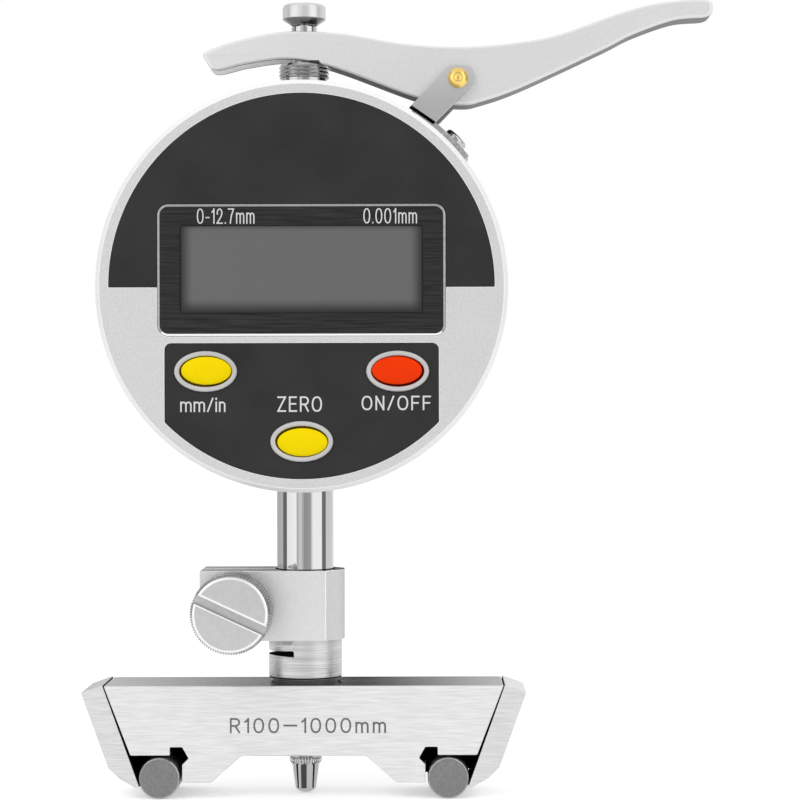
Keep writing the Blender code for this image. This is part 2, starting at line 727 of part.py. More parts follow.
def stem_clamp():
    """Spigot, sleeve and split block, with the saw cuts that let the jaws close on the stem."""
    block = slab("stem_clamp", block_outline(), BLOCK_BASE, BLOCK_TOP, TOP_VIEW)
    soften(block, BLOCK_CHAMFER)
    spigot_foot = BAR_TOP - SPIGOT_DEPTH
    profile = (
        (0, spigot_foot),
        (SPIGOT_RADIUS, spigot_foot),
        (SPIGOT_RADIUS, SLEEVE_BASE),
        (SLEEVE_RADIUS, SLEEVE_BASE),
        (SLEEVE_RADIUS, BLOCK_BASE + BLOCK_CHAMFER),
        (0, BLOCK_BASE + BLOCK_CHAMFER),
    )
    join(block, turned("sleeve", profile, upright(), LARGE_FACETS))
    bore = round_bar("bore", STEM_HOLE, SHOULDER_Z, BLOCK_TOP + OVERRUN, upright(), LARGE_FACETS)
    passage = round_bar("passage", PASSAGE_RADIUS, spigot_foot - OVERRUN, BLOCK_BASE, upright())
    saw_length = BLOCK_LEFT + OVERRUN
    slit_outline = box_outline(saw_length, JAW_SLIT, -saw_length / 2)
    slit = slab("slit", slit_outline, SAW_CUT_Z, BLOCK_TOP + OVERRUN, TOP_VIEW)
    saw_x = -SAW_CUT_END - saw_length / 2
    saw_outline = box_outline(saw_length, SAW_CUT, saw_x, SAW_CUT_Z)
    saw = slab("saw", saw_outline, -BLOCK_DEPTH, BLOCK_DEPTH)
    place = rearward(-KNOB_OFFSET, KNOB_Z)
    hole = round_bar("hole", KNOB_SHANK + FIT_GAP, -BLOCK_DEPTH, BLOCK_DEPTH, place)
    return cut(block, bore, passage, slit, saw, hole)


def knurled_circle(radius, depth, teeth, x, z):
    """A toothed circle, each tooth with two points on its crown and two in its root."""
    levels = (radius, radius, radius - depth, radius - depth)
    count = teeth * len(levels)
    points = []
    for i in range(count):
        turn = 2 * math.pi * i / count
        reach = levels[i % len(levels)]
        points.append((x + reach * math.cos(turn), z + reach * math.sin(turn)))
    return points


def clamp_screw():
    """Thumb screw with a knurled rim, a bright chamfered face and a coin slot."""
    rim_outline = knurled_circle(KNOB_RADIUS, KNURL_DEPTH, KNURL_TEETH, -KNOB_OFFSET, KNOB_Z)
    knob = slab("clamp_screw", rim_outline, KNOB_FRONT - OVERRUN, KNOB_BACK + OVERRUN)
    place = rearward(-KNOB_OFFSET, KNOB_Z)
    wide = KNOB_RADIUS + KNURL_DEPTH
    slope = KNOB_CHAMFER + KNURL_DEPTH
    envelope = (
        (0, KNOB_FRONT),
        (KNOB_RADIUS - KNOB_CHAMFER, KNOB_FRONT),
        (wide, KNOB_FRONT + slope),
        (wide, KNOB_BACK - slope),
        (KNOB_RADIUS - KNOB_CHAMFER, KNOB_BACK),
        (0, KNOB_BACK),
    )
    combine(knob, [turned("envelope", envelope, place, LARGE_FACETS)], "INTERSECT")
    shank = (
        (0, KNOB_BACK - KNOB_CHAMFER),
        (KNOB_NECK, KNOB_BACK - KNOB_CHAMFER),
        (KNOB_NECK, KNOB_BACK + KNOB_NECK_LENGTH),
        (KNOB_SHANK, KNOB_BACK + KNOB_NECK_LENGTH),
        (KNOB_SHANK, KNOB_SHANK_REACH),
        (0, KNOB_SHANK_REACH),
    )
    join(knob, turned("shank", shank, place))
    slot_outline = box_outline(2 * (KNOB_RADIUS + OVERRUN), KNOB_SLOT_WIDE)
    centre = Matrix.Translation((-KNOB_OFFSET, 0.0, KNOB_Z))
    slot_place = centre @ Matrix.Rotation(-KNOB_SLOT_TILT, 4, "Y") @ FRONT_VIEW
    slot_floor = KNOB_FRONT + KNOB_SLOT_DEEP
    slot = slab("slot", slot_outline, KNOB_FRONT - OVERRUN, slot_floor, slot_place)
    return cut(knob, slot)


def stem_tube():
    """Ground stem that the clamp grips, open right through."""
    profile = (
        (STEM_BORE, STEM_FOOT),
        (STEM_RADIUS - STEM_CHAMFER, STEM_FOOT),
        (STEM_RADIUS, STEM_FOOT + STEM_CHAMFER),
        (STEM_RADIUS, STEM_TOP),
        (STEM_BORE, STEM_TOP),
    )
    return turned("stem_tube", profile, upright(), LARGE_FACETS, ring=True)


def lower_bush():
    """Guide bush at the stem's lower end."""
    outer = STEM_BORE - FIT_GAP
    foot = STEM_FOOT + LOWER_BUSH_SETBACK
    top = foot + LOWER_BUSH_LENGTH
    profile = ((SPINDLE_HOLE, foot), (outer, foot), (outer, top), (SPINDLE_HOLE, top))
    return turned("lower_bush", profile, upright(), ring=True)


def post_places():
    """The centres of the case's four screw posts, as x and z."""
    corners = ((1, 1), (-1, 1), (-1, -1), (1, -1))
    return [(across * POST_X, CASE_CENTRE + up * POST_RISE) for across, up in corners]


def panel_outline(radius, margin):
    """The half-moon above the case's centre line."""
    edge = math.asin(margin / radius)
    return arc(radius, edge, math.pi - edge, LARGE_FACETS, 0.0, CASE_CENTRE)


def window_outline(grow):
    """The display frame's outer edge, wider by this much all round."""
    wide = WINDOW_WIDE + 2 * grow
    high = WINDOW_HIGH + 2 * grow
    return rounded_box(wide, high, WINDOW_CORNER + grow, 0.0, WINDOW_Z)


def keypad_outline(grow):
    """The keypad's edge: a flat top with round corners, straight sides and a curved bottom."""
    radius = PANEL_RADIUS + grow
    half = KEYPAD_HALF_WIDE + grow
    top = KEYPAD_TOP + grow
    swing = math.acos(half / radius)
    bottom = arc(radius, math.pi + swing, 2 * math.pi - swing, ROUND_FACETS, 0.0, CASE_CENTRE)
    corner_x = half - KEYPAD_CORNER
    corner_z = top - KEYPAD_CORNER
    right = arc(KEYPAD_CORNER, 0.0, QUARTER_TURN, CORNER_STEPS, corner_x, corner_z)
    left = arc(KEYPAD_CORNER, QUARTER_TURN, math.pi, CORNER_STEPS, -corner_x, corner_z)
    return bottom + right + left


def front_case():
    """Cup-shaped case with pockets for its panels, rims round the buttons and posts for the cover."""
    axis = rearward(0.0, CASE_CENTRE)
    profile = (
        (0, CASE_FRONT),
        (CASE_RADIUS - CASE_FRONT_CHAMFER, CASE_FRONT),
        (CASE_RADIUS, CASE_FRONT + CASE_FRONT_CHAMFER),
        (CASE_RADIUS, CASE_BACK - CASE_BACK_CHAMFER),
        (CASE_RADIUS - CASE_BACK_CHAMFER, CASE_BACK),
        (CASE_INNER, CASE_BACK),
        (CASE_INNER, CASE_FLOOR),
        (0, CASE_FLOOR),
    )
    case = turned("front_case", profile, axis, CASE_FACETS)
    floor = CASE_FRONT + PANEL_POCKET
    over = CASE_FRONT - OVERRUN
    cut(
        case,
        slab("panel", panel_outline(PANEL_RADIUS + FIT_GAP, FIT_GAP), over, floor),
        slab("keypad", keypad_outline(FIT_GAP), over, floor),
    )
    cut(case, slab("window", window_outline(FIT_GAP), over, CASE_FRONT + WINDOW_POCKET))
    screen = box_outline(SCREEN_WIDE + 2 * FIT_GAP, SCREEN_HIGH + 2 * FIT_GAP, 0.0, SCREEN_Z)
    cut(case, slab("screen", screen, over, CASE_FLOOR + OVERRUN))
    root = (floor + CASE_FLOOR) / 2
    rims = []
    for x, z in BUTTON_PLACES.values():
        rim = ellipse(RIM_HALF_WIDE, RIM_HALF_HIGH, x, z)
        rims.append(slab("rim", rim, CASE_FRONT - RIM_PROUD, root))
    posts = []
    for x, z in post_places():
        posts.append(round_bar("post", POST_RADIUS, root, CASE_BACK, rearward(x, z)))
    join(case, *rims, *posts)
    holes = []
    for x, z in BUTTON_PLACES.values():
        hole = ellipse(RIM_HALF_WIDE - RIM_WALL, RIM_HALF_HIGH - RIM_WALL, x, z)
        holes.append(slab("hole", hole, over, CASE_FLOOR + OVERRUN))
    thread_radius = REAR_SCREW_SHANK + FIT_GAP
    low = REAR_FRONT - REAR_SCREW_LENGTH - FIT_GAP
    high = CASE_BACK + OVERRUN
    for x, z in post_places():
        holes.append(round_bar("thread", thread_radius, low, high, rearward(x, z), SMALL_FACETS))
    below = CASE_CENTRE - CASE_RADIUS - OVERRUN
    above = CASE_TOP + OVERRUN
    neck_radius = NECK_RADIUS + FIT_GAP
    strap_radius = STRAP_SCREW_SHANK + FIT_GAP
    strap_floor = STRAP_OUTER - STRAP_SCREW_LENGTH - FIT_GAP
    strap_place = radial(STRAP_SCREW_ANGLE)
    holes += [
        round_bar("stem_hole", STEM_HOLE, below, CAVITY_BOTTOM + OVERRUN, upright()),
        round_bar("neck_hole", neck_radius, CAVITY_TOP - OVERRUN, above, upright()),
        round_bar("strap_hole", strap_radius, strap_floor, STRAP_OUTER, strap_place, SMALL_FACETS),
    ]
    return cut(case, *holes)


def face_plate():
    """Dark half-moon plate above the centre line, cut away round the display."""
    plate = slab("face_plate", panel_outline(PANEL_RADIUS, 2 * FIT_GAP), CASE_FRONT, PANEL_BACK)
    window = window_outline(2 * FIT_GAP)
    return cut(plate, slab("window", window, CASE_FRONT - OVERRUN, PANEL_BACK + OVERRUN))


def keypad_plate():
    """Dark plate round the three buttons."""
    plate = slab("keypad_plate", keypad_outline(0.0), CASE_FRONT, PANEL_BACK)
    holes = []
    for x, z in BUTTON_PLACES.values():
        hole = ellipse(RIM_HALF_WIDE + CLOSE_GAP, RIM_HALF_HIGH + CLOSE_GAP, x, z)
        holes.append(slab("hole", hole, CASE_FRONT - OVERRUN, PANEL_BACK + OVERRUN))
    return cut(plate, *holes)


def display_frame():
    """Black frame that stands a little proud of the face, round the screen."""
    frame = slab("display_frame", window_outline(0.0), CASE_FRONT - WINDOW_PROUD, PANEL_BACK)
    soften(frame, WINDOW_PROUD)
    screen = rounded_box(SCREEN_WIDE, SCREEN_HIGH, SCREEN_CORNER, 0.0, SCREEN_Z)
    return cut(frame, slab("screen", screen, CASE_FRONT - OVERRUN, PANEL_BACK + OVERRUN))


def lcd_module():
    """Display module whose glass stands in the case's opening."""
    body = box_outline(MODULE_WIDE, MODULE_HIGH, 0.0, SCREEN_Z)
    module = slab("lcd_module", body, MODULE_FRONT, MODULE_BACK)
    glass = box_outline(SCREEN_WIDE - FIT_GAP, SCREEN_HIGH - FIT_GAP, 0.0, SCREEN_Z)
    return join(module, slab("glass", glass, CASE_FRONT + GLASS_RECESS, MODULE_BACK - MODULE_THICK / 2))


def button(name, x, z):
    """Oval push button with a crowned top, a flange behind the case's face and a plunger."""
    crown_half_wide = BUTTON_HALF_WIDE - BUTTON_CROWN
    crown_half_high = BUTTON_HALF_HIGH - BUTTON_CROWN
    front = CASE_FRONT - BUTTON_PROUD
    bm = bmesh.new()
    layers = (
        (front, crown_half_wide, crown_half_high),
        (front + BUTTON_CROWN, BUTTON_HALF_WIDE, BUTTON_HALF_HIGH),
        (FLANGE_FRONT, BUTTON_HALF_WIDE, BUTTON_HALF_HIGH),
        (FLANGE_FRONT, BUTTON_HALF_WIDE + BUTTON_FLANGE, BUTTON_HALF_HIGH + BUTTON_FLANGE),
        (FLANGE_BACK, BUTTON_HALF_WIDE + BUTTON_FLANGE, BUTTON_HALF_HIGH + BUTTON_FLANGE),
        (FLANGE_BACK, BUTTON_PLUNGER, BUTTON_PLUNGER),
        (PLUNGER_END, BUTTON_PLUNGER, BUTTON_PLUNGER),
    )
    rows = [[bm.verts.new((a, y, b)) for a, b in ellipse(wide, high, x, z)] for y, wide, high in layers]
    for low, high in zip(rows, rows[1:]):
        for i in range(len(low)):
            j = (i + 1) % len(low)
            bm.faces.new((low[i], low[j], high[j], high[i]))
    bm.faces.new(rows[0])
    bm.faces.new(rows[-1])
    return solid_from(bm, name, Matrix.Identity(4))


def main_board():
    """Round circuit board, notched round the case's posts, with a dome switch behind each button."""
    outline = circle(BOARD_RADIUS, LARGE_FACETS, 0.0, CASE_CENTRE)
    board = slab("main_board", outline, BOARD_FRONT, BOARD_BACK)
    domes = []
    for x, z in BUTTON_PLACES.values():
        profile = (
            (0, DOME_TOP),
            (BUTTON_PLUNGER, DOME_TOP),
            (DOME_RADIUS, BOARD_FRONT),
            (DOME_RADIUS, BOARD_BACK - BOARD_THICK / 2),
            (0, BOARD_BACK - BOARD_THICK / 2),
        )
        domes.append(turned("dome", profile, rearward(x, z), SMALL_FACETS))
    join(board, *domes)
    low = BOARD_FRONT - OVERRUN
    high = BOARD_BACK + OVERRUN
    notch = POST_RADIUS + FIT_GAP
    notches = [round_bar("notch", notch, low, high, rearward(x, z)) for x, z in post_places()]
    bush_notch = NECK_FLANGE_RADIUS + FIT_GAP
    notches.append(round_bar("notch", bush_notch, NECK_FOOT - FIT_GAP, CAVITY_TOP, upright()))
    return cut(board, *notches)


def sensor_board():
    """Fixed reading head beside the scale, on the header that joins it to the main board."""
    front = CARRIER_THICK / 2 + FIT_GAP
    header_x = CARRIER_REACH + HEADER_GAP + HEADER_WIDE / 2
    outer = header_x + HEADER_WIDE / 2
    middle = (outer + SENSOR_INNER) / 2
    outline = box_outline(outer - SENSOR_INNER, SENSOR_HIGH, middle, CASE_CENTRE)
    board = slab("sensor_board", outline, front, front + SENSOR_THICK)
    header = box_outline(HEADER_WIDE, HEADER_HIGH, header_x, CASE_CENTRE)
    return join(board, slab("header", header, BOARD_BACK + FIT_GAP, front + SENSOR_THICK / 2))


def guide_rail():
    """Slotted rail that keeps the spindle from turning."""
    centre = -(RAIL_INNER + RAIL_OUTER) / 2
    outline = box_outline(RAIL_OUTER - RAIL_INNER, RAIL_DEPTH, centre)
    rail = slab("guide_rail", outline, RAIL_BASE, RAIL_TOP, TOP_VIEW)
    soften(rail, FIT_GAP)
    slot_floor = -GUIDE_PIN_END - FIT_GAP
    slot_mouth = OVERRUN - RAIL_INNER
    slot_wide = 2 * (GUIDE_PIN_RADIUS + FIT_GAP)
    slot_outline = box_outline(slot_mouth - slot_floor, slot_wide, (slot_mouth + slot_floor) / 2)
    slot = slab("slot", slot_outline, RAIL_BASE - OVERRUN, RAIL_TOP + OVERRUN, TOP_VIEW)
    return cut(rail, slot)


def spindle():
    """Plunger rod through the whole gauge, with a stud on top and a socket at its foot."""
    socket_radius = SPINDLE_STUD + FIT_GAP
    socket_top = SPINDLE_FOOT + STUD_LENGTH + FIT_GAP
    profile = (
        (0, socket_top),
        (socket_radius, socket_top),
        (socket_radius, SPINDLE_FOOT),
        (SPINDLE_RADIUS, SPINDLE_FOOT),
        (SPINDLE_RADIUS, SPINDLE_SHOULDER),
        (SPINDLE_STUD, SPINDLE_SHOULDER),
        (SPINDLE_STUD, SPINDLE_SHOULDER + STUD_LENGTH),
        (0, SPINDLE_SHOULDER + STUD_LENGTH),
    )
    return turned("spindle", profile, upright())


def guide_pin_place():
    """A turned piece's axis along -X through the guide pin."""
    return Matrix.Translation((0.0, 0.0, GUIDE_PIN_Z)) @ Matrix.Rotation(-QUARTER_TURN, 4, "Y")


def scale_carrier():
    """Hub on the spindle with the arm that carries the moving scale."""
    profile = (
        (SPINDLE_HOLE, HUB_BASE),
        (HUB_RADIUS, HUB_BASE),
        (HUB_RADIUS, HUB_TOP),
        (SPINDLE_HOLE, HUB_TOP),
    )
    hub = turned("scale_carrier", profile, upright(), ring=True)
    inner = (HUB_RADIUS + SPINDLE_HOLE) / 2
    arm_top = HUB_BASE + CARRIER_HEIGHT
    arm = [
        (inner, HUB_BASE),
        (CARRIER_REACH, HUB_BASE),
        (CARRIER_REACH, arm_top),
        (CARRIER_CLEAR, arm_top),
        (CARRIER_CLEAR, HUB_TOP),
        (inner, HUB_TOP),
    ]
    half = CARRIER_THICK / 2
    join(hub, slab("arm", arm, -half, half))
    hole_radius = GUIDE_PIN_RADIUS + FIT_GAP
    hole = round_bar("hole", hole_radius, 0.0, HUB_RADIUS + OVERRUN, guide_pin_place(), SMALL_FACETS)
    return cut(hub, hole)


def guide_pin():
    """Pin in the hub that runs in the guide rail's slot."""
    place = guide_pin_place()
    return round_bar("guide_pin", GUIDE_PIN_RADIUS, SPINDLE_HOLE, GUIDE_PIN_END, place, SMALL_FACETS)


def coil(name, radius, wire, low, high, turns):
    """An unbroken helix of round wire between two heights."""
    bm = bmesh.new()
    rows = []
    count = turns * SPRING_POINTS_PER_TURN
    rise = (high - low - 2 * wire) / count
    for i in range(count + 1):
        turn = 2 * math.pi * i / SPRING_POINTS_PER_TURN
        out = Vector((math.cos(turn), math.sin(turn), 0.0))
        centre = out * radius + Vector((0.0, 0.0, low + wire + rise * i))
        ring = []
        for across, up in circle(wire, SPRING_SIDES):
            ring.append(bm.verts.new(centre + out * across + Vector((0.0, 0.0, up))))
        rows.append(ring)
    for low_ring, high_ring in zip(rows, rows[1:]):
        for k in range(SPRING_SIDES):
            j = (k + 1) % SPRING_SIDES
            bm.faces.new((low_ring[k], low_ring[j], high_ring[j], high_ring[k]))
    bm.faces.new(rows[0])
    bm.faces.new(rows[-1])
    gap = rise * SPRING_POINTS_PER_TURN - 2 * wire
    print(f"{name}: {gap / MM:.2f} mm between turns")
    return solid_from(bm, name, Matrix.Identity(4))


def return_spring():
    """Spring that pushes the spindle down, between its hub and the upper bush."""
    low = HUB_TOP + FIT_GAP
    high = NECK_FOOT - FIT_GAP
    return coil("return_spring", SPRING_RADIUS, SPRING_WIRE, low, high, SPRING_TURNS)


def upper_bush():
    """Threaded neck that guides the spindle above the case."""
    undercut_low = CASE_TOP + NECK_UNDERCUT_RISE
    undercut_high = undercut_low + NECK_UNDERCUT_HEIGHT
    profile = (
        (SPINDLE_HOLE, NECK_FOOT),
        (NECK_FLANGE_RADIUS, NECK_FOOT),
        (NECK_FLANGE_RADIUS, NECK_FLANGE_TOP),
        (NECK_RADIUS, NECK_FLANGE_TOP),
        (NECK_RADIUS, undercut_low),
        (NECK_RADIUS - NECK_UNDERCUT, undercut_low),
        (NECK_RADIUS - NECK_UNDERCUT, undercut_high),
        (NECK_RADIUS, undercut_high),
        (NECK_RADIUS, NECK_TOP - NECK_CHAMFER),
        (NECK_RADIUS - NECK_CHAMFER, NECK_TOP),
        (SPINDLE_HOLE, NECK_TOP),
    )
    return turned("upper_bush", profile, upright(), ring=True)


def plunger_cap():
    """Cap on the spindle's upper stud, under which the lever's fork lifts."""
    top = CAP_BASE + CAP_HEIGHT
    socket_radius = SPINDLE_STUD + FIT_GAP
    socket_top = SPINDLE_SHOULDER + STUD_LENGTH + FIT_GAP
    profile = [
        (0, socket_top),
        (socket_radius, socket_top),
        (socket_radius, CAP_BASE),
        (CAP_RADIUS - CAP_TAPER_INSET, CAP_BASE),
        (CAP_RADIUS, CAP_BASE + CAP_TAPER_HEIGHT),
    ]
    corner_x = CAP_RADIUS - CAP_CORNER
    profile += arc(CAP_CORNER, 0.0, QUARTER_TURN, CORNER_STEPS, corner_x, top - CAP_CORNER)
    profile.append((0, top))
    return turned("plunger_cap", profile, upright())


def contact_point():
    """Hardened tip with a knurled collar and the stud that screws into the spindle."""
    collar_low = CONTACT_TOP - CONTACT_COLLAR_HEIGHT
    groove_low = collar_low + CONTACT_GROOVE_RISE
    stud_top = SPINDLE_FOOT + STUD_LENGTH
    dome = [(0, CONTACT_TIP)]
    for i in range(1, DOME_STEPS + 1):
        t = QUARTER_TURN * i / DOME_STEPS
        rise = CONTACT_DOME * (1 - math.cos(t))
        dome.append((CONTACT_END_RADIUS * math.sin(t), CONTACT_TIP + rise))
    profile = dome + [
        (CONTACT_ROOT_RADIUS, collar_low),
        (CONTACT_COLLAR_RADIUS - CONTACT_GROOVE, collar_low),
        (CONTACT_COLLAR_RADIUS, collar_low + CONTACT_GROOVE),
        (CONTACT_COLLAR_RADIUS, groove_low),
        (CONTACT_COLLAR_RADIUS - CONTACT_GROOVE, groove_low + CONTACT_GROOVE / 2),
        (CONTACT_COLLAR_RADIUS, groove_low + CONTACT_GROOVE),
        (CONTACT_COLLAR_RADIUS, CONTACT_TOP - CONTACT_GROOVE),
        (CONTACT_COLLAR_RADIUS - CONTACT_GROOVE, CONTACT_TOP),
        (SPINDLE_STUD, CONTACT_TOP),
        (SPINDLE_STUD, stud_top),
        (0, stud_top),
    ]
    return turned("contact_point", profile, upright())


def lift_lever():
    """Cast lever: a fork under the plunger cap, a boss on the pivot and a thumb end."""
    shares = LEVER_UPPER_SHARES + LEVER_LOWER_SHARES
    spots = [(PIVOT_X + LEVER_ARM * a, PIVOT_Z + LEVER_ARM * b) for a, b in shares]
    half = LEVER_DEPTH / 2
    lever = slab("lift_lever", smooth_loop(spots, CURVE_STEPS), -half, half)
    soften(lever, LEVER_EDGE, 2)
    half_gap = FORK_GAP / 2
    slot_end = half_gap + FORK_SLOT_END
    slot_start = PIVOT_X - LEVER_ARM - OVERRUN
    root = slot_end - FORK_ROOT_RADIUS
    outline = [(slot_start, -half_gap)]
    corner_y = half_gap - FORK_ROOT_RADIUS
    outline += arc(FORK_ROOT_RADIUS, -QUARTER_TURN, 0.0, CORNER_STEPS, root, -corner_y)
    outline += arc(FORK_ROOT_RADIUS, 0.0, QUARTER_TURN, CORNER_STEPS, root, corner_y)
    outline.append((slot_start, half_gap))
    slot = slab("slot", outline, PIVOT_Z - LEVER_ARM, PIVOT_Z + LEVER_ARM, TOP_VIEW)
    hole_radius = PIVOT_PIN_RADIUS + FIT_GAP
    hole = round_bar("hole", hole_radius, -LEVER_DEPTH, LEVER_DEPTH, rearward(PIVOT_X, PIVOT_Z))
    relief_radius = NECK_RADIUS + FIT_GAP
    relief = round_bar("relief", relief_radius, NECK_TOP - OVERRUN, NECK_TOP + FIT_GAP, upright())
    return cut(lever, slot, hole, relief)


def ear_outline():
    """A bracket ear: a strip up from the case's rim, with a faceted end round the pivot."""
    along = Vector((math.cos(EAR_TILT), math.sin(EAR_TILT)))
    across = Vector((-math.sin(EAR_TILT), math.cos(EAR_TILT)))
    pivot = Vector((PIVOT_X, PIVOT_Z))
    half = EAR_WIDE / 2
    end = [pivot + half * Vector(share) for share in EAR_END_SHARES]
    foot_radius = STRAP_OUTER - STRAP_THICK / 2
    centre = Vector((0.0, CASE_CENTRE))
    corners = []
    for offset in (half, -half):
        start = pivot + across * offset - centre
        reach = start.dot(along)
        drop = reach - math.sqrt(foot_radius**2 - start.dot(across) ** 2)
        corners.append(centre + start - along * drop)
    shoulder_low = pivot - across * half - along * EAR_SHOULDER_LOW
    shoulder_high = pivot + across * half - along * EAR_SHOULDER_HIGH
    return [tuple(p) for p in [corners[0], corners[1], shoulder_low, *end, shoulder_high]]


def strap_outline(end):
    """A strip on the case's rim, from the first angle to this one."""
    count = round((end - STRAP_START_ANGLE) / STRAP_STEP_ANGLE)
    outer = arc(STRAP_OUTER, STRAP_START_ANGLE, end, count, 0.0, CASE_CENTRE)
    inner = arc(STRAP_INNER, end, STRAP_START_ANGLE, count, 0.0, CASE_CENTRE)
    return outer + inner


def lever_bracket():
    """Bracket on the case's rim with two ears that hold the lever's pin."""
    lap = EAR_INNER + STRAP_EAR_LAP
    strap = slab("lever_bracket", strap_outline(STRAP_END_ANGLE), -lap, lap)
    wide = slab("wide", strap_outline(STRAP_WIDE_END_ANGLE), -EAR_OUTER, EAR_OUTER)
    ears = [slab("ear", ear_outline(), side * EAR_INNER, side * EAR_OUTER) for side in (-1, 1)]
    join(strap, wide, *ears)
    pin_radius = PIVOT_PIN_RADIUS + FIT_GAP
    reach = EAR_OUTER + OVERRUN
    pin_hole = round_bar("pin_hole", pin_radius, -reach, reach, rearward(PIVOT_X, PIVOT_Z))
    screw_radius = STRAP_SCREW_SHANK + FIT_GAP
    low = STRAP_INNER - OVERRUN
    high = STRAP_OUTER + OVERRUN
    place = radial(STRAP_SCREW_ANGLE)
    screw_hole = round_bar("screw_hole", screw_radius, low, high, place, SMALL_FACETS)
    return cut(strap, pin_hole, screw_hole)


def bracket_screw():
    """Pan-head screw that holds the lever's bracket on the case."""
    seat = STRAP_OUTER + FIT_GAP / 2
    top = seat + STRAP_SCREW_HEAD_THICK
    end = STRAP_OUTER - STRAP_SCREW_LENGTH
    corner = STRAP_SCREW_HEAD_THICK / 2
    place = radial(STRAP_SCREW_ANGLE)
    profile = [
        (0, end),
        (STRAP_SCREW_SHANK, end),
        (STRAP_SCREW_SHANK, seat),
        (STRAP_SCREW_HEAD, seat),
    ]
    profile += arc(corner, 0.0, QUARTER_TURN, CORNER_STEPS, STRAP_SCREW_HEAD - corner, top - corner)
    profile.append((0, top))
    screw = turned("bracket_screw", profile, place)
    outline = box_outline(2 * (STRAP_SCREW_HEAD + OVERRUN), STRAP_SCREW_SLOT)
    slot = slab("slot", outline, top - STRAP_SCREW_SLOT_DEPTH, top + OVERRUN, place @ TOP_VIEW)
    return cut(screw, slot)


def pivot_pin():
    """Brass pin through both ears and the lever, with a dimpled head and a riveted tail."""
    head_back = -EAR_OUTER - CLOSE_GAP
    head_front = head_back - PIVOT_HEAD_THICK
    tail_front = EAR_OUTER + CLOSE_GAP
    edge = PIVOT_HEAD_THICK / 2
    profile = (
        (0, head_front + PIVOT_DIMPLE_DEPTH),
        (PIVOT_DIMPLE_RADIUS, head_front),
        (PIVOT_HEAD_RADIUS - edge, head_front),
        (PIVOT_HEAD_RADIUS, head_front + edge),
        (PIVOT_HEAD_RADIUS, head_back),
        (PIVOT_PIN_RADIUS, head_back),
        (PIVOT_PIN_RADIUS, tail_front),
        (PIVOT_TAIL_RADIUS, tail_front),
        (PIVOT_TAIL_RADIUS, tail_front + PIVOT_TAIL_THICK / 2),
        (PIVOT_TAIL_RADIUS - PIVOT_TAIL_THICK / 2, tail_front + PIVOT_TAIL_THICK),
        (0, tail_front + PIVOT_TAIL_THICK),
    )
    return turned("pivot_pin", profile, rearward(PIVOT_X, PIVOT_Z))


def rear_cover():
    """Flat back of the case, with a hole for the battery cover and seats for four screws."""
    profile = (
        (0, REAR_FRONT),
        (REAR_RADIUS, REAR_FRONT),
        (REAR_RADIUS, REAR_BACK - REAR_CHAMFER),
        (REAR_RADIUS - REAR_CHAMFER, REAR_BACK),
        (0, REAR_BACK),
    )
    cover = turned("rear_cover", profile, rearward(0.0, CASE_CENTRE), CASE_FACETS)
    low = REAR_FRONT - OVERRUN
    high = REAR_BACK + OVERRUN
    seat = REAR_BACK - REAR_SCREW_HEAD_THICK - FIT_GAP
    lid_place = rearward(0.0, BATTERY_Z)
    cutters = [round_bar("lid", LID_RADIUS + FIT_GAP, low, high, lid_place, LARGE_FACETS)]
    for x, z in post_places():
        place = rearward(x, z)
        cutters.append(round_bar("hole", REAR_SCREW_SHANK + FIT_GAP, low, high, place, SMALL_FACETS))
        cutters.append(round_bar("seat", REAR_SCREW_HEAD + FIT_GAP, seat, high, place))
    return cut(cover, *cutters)


def rear_screw(number, x, z):
    """Screw of the rear cover, with a flat head and a cross slot."""
    place = rearward(x, z)
    under_head = REAR_BACK - REAR_SCREW_HEAD_THICK
    profile = (
        (0, REAR_FRONT - REAR_SCREW_LENGTH),
        (REAR_SCREW_SHANK, REAR_FRONT - REAR_SCREW_LENGTH),
        (REAR_SCREW_SHANK, under_head),
        (REAR_SCREW_HEAD, under_head),
        (REAR_SCREW_HEAD, REAR_BACK),
        (0, REAR_BACK),
    )
    screw = turned(f"rear_screw_{number}", profile, place)
    floor = REAR_BACK - REAR_SCREW_SLOT_DEPTH
    outline = box_outline(REAR_SCREW_SLOT_LONG, REAR_SCREW_SLOT)
    arms = []
    for turn in (0.0, QUARTER_TURN):
        arm_place = Matrix.Translation((x, 0.0, z)) @ Matrix.Rotation(turn, 4, "Y") @ FRONT_VIEW
        arms.append(slab("arm", outline, floor, REAR_BACK + OVERRUN, arm_place))
    return cut(screw, *arms)


def battery():
    """Coin cell behind the battery cover."""
    back = REAR_FRONT - FIT_GAP
    front = back - BATTERY_THICK
    inner = BATTERY_RADIUS - BATTERY_EDGE
    profile = (
        (0, front),
        (inner, front),
        (BATTERY_RADIUS, front + BATTERY_EDGE),
        (BATTERY_RADIUS, back),
        (0, back),
    )
    return turned("battery", profile, rearward(0.0, BATTERY_Z), LARGE_FACETS)


def battery_cover():
    """Round screw-in cover with a coin slot."""
    back = REAR_BACK + LID_PROUD
    profile = (
        (0, REAR_FRONT),
        (LID_RADIUS, REAR_FRONT),
        (LID_RADIUS, back - LID_CHAMFER),
        (LID_RADIUS - LID_CHAMFER, back),
        (0, back),
    )
    lid = turned("battery_cover", profile, rearward(0.0, BATTERY_Z), LARGE_FACETS)
    outline = rounded_box(LID_SLOT_LONG, LID_SLOT_WIDE, LID_SLOT_WIDE / 2, 0.0, BATTERY_Z)
    return cut(lid, slab("slot", outline, back - LID_SLOT_DEEP, back + OVERRUN))


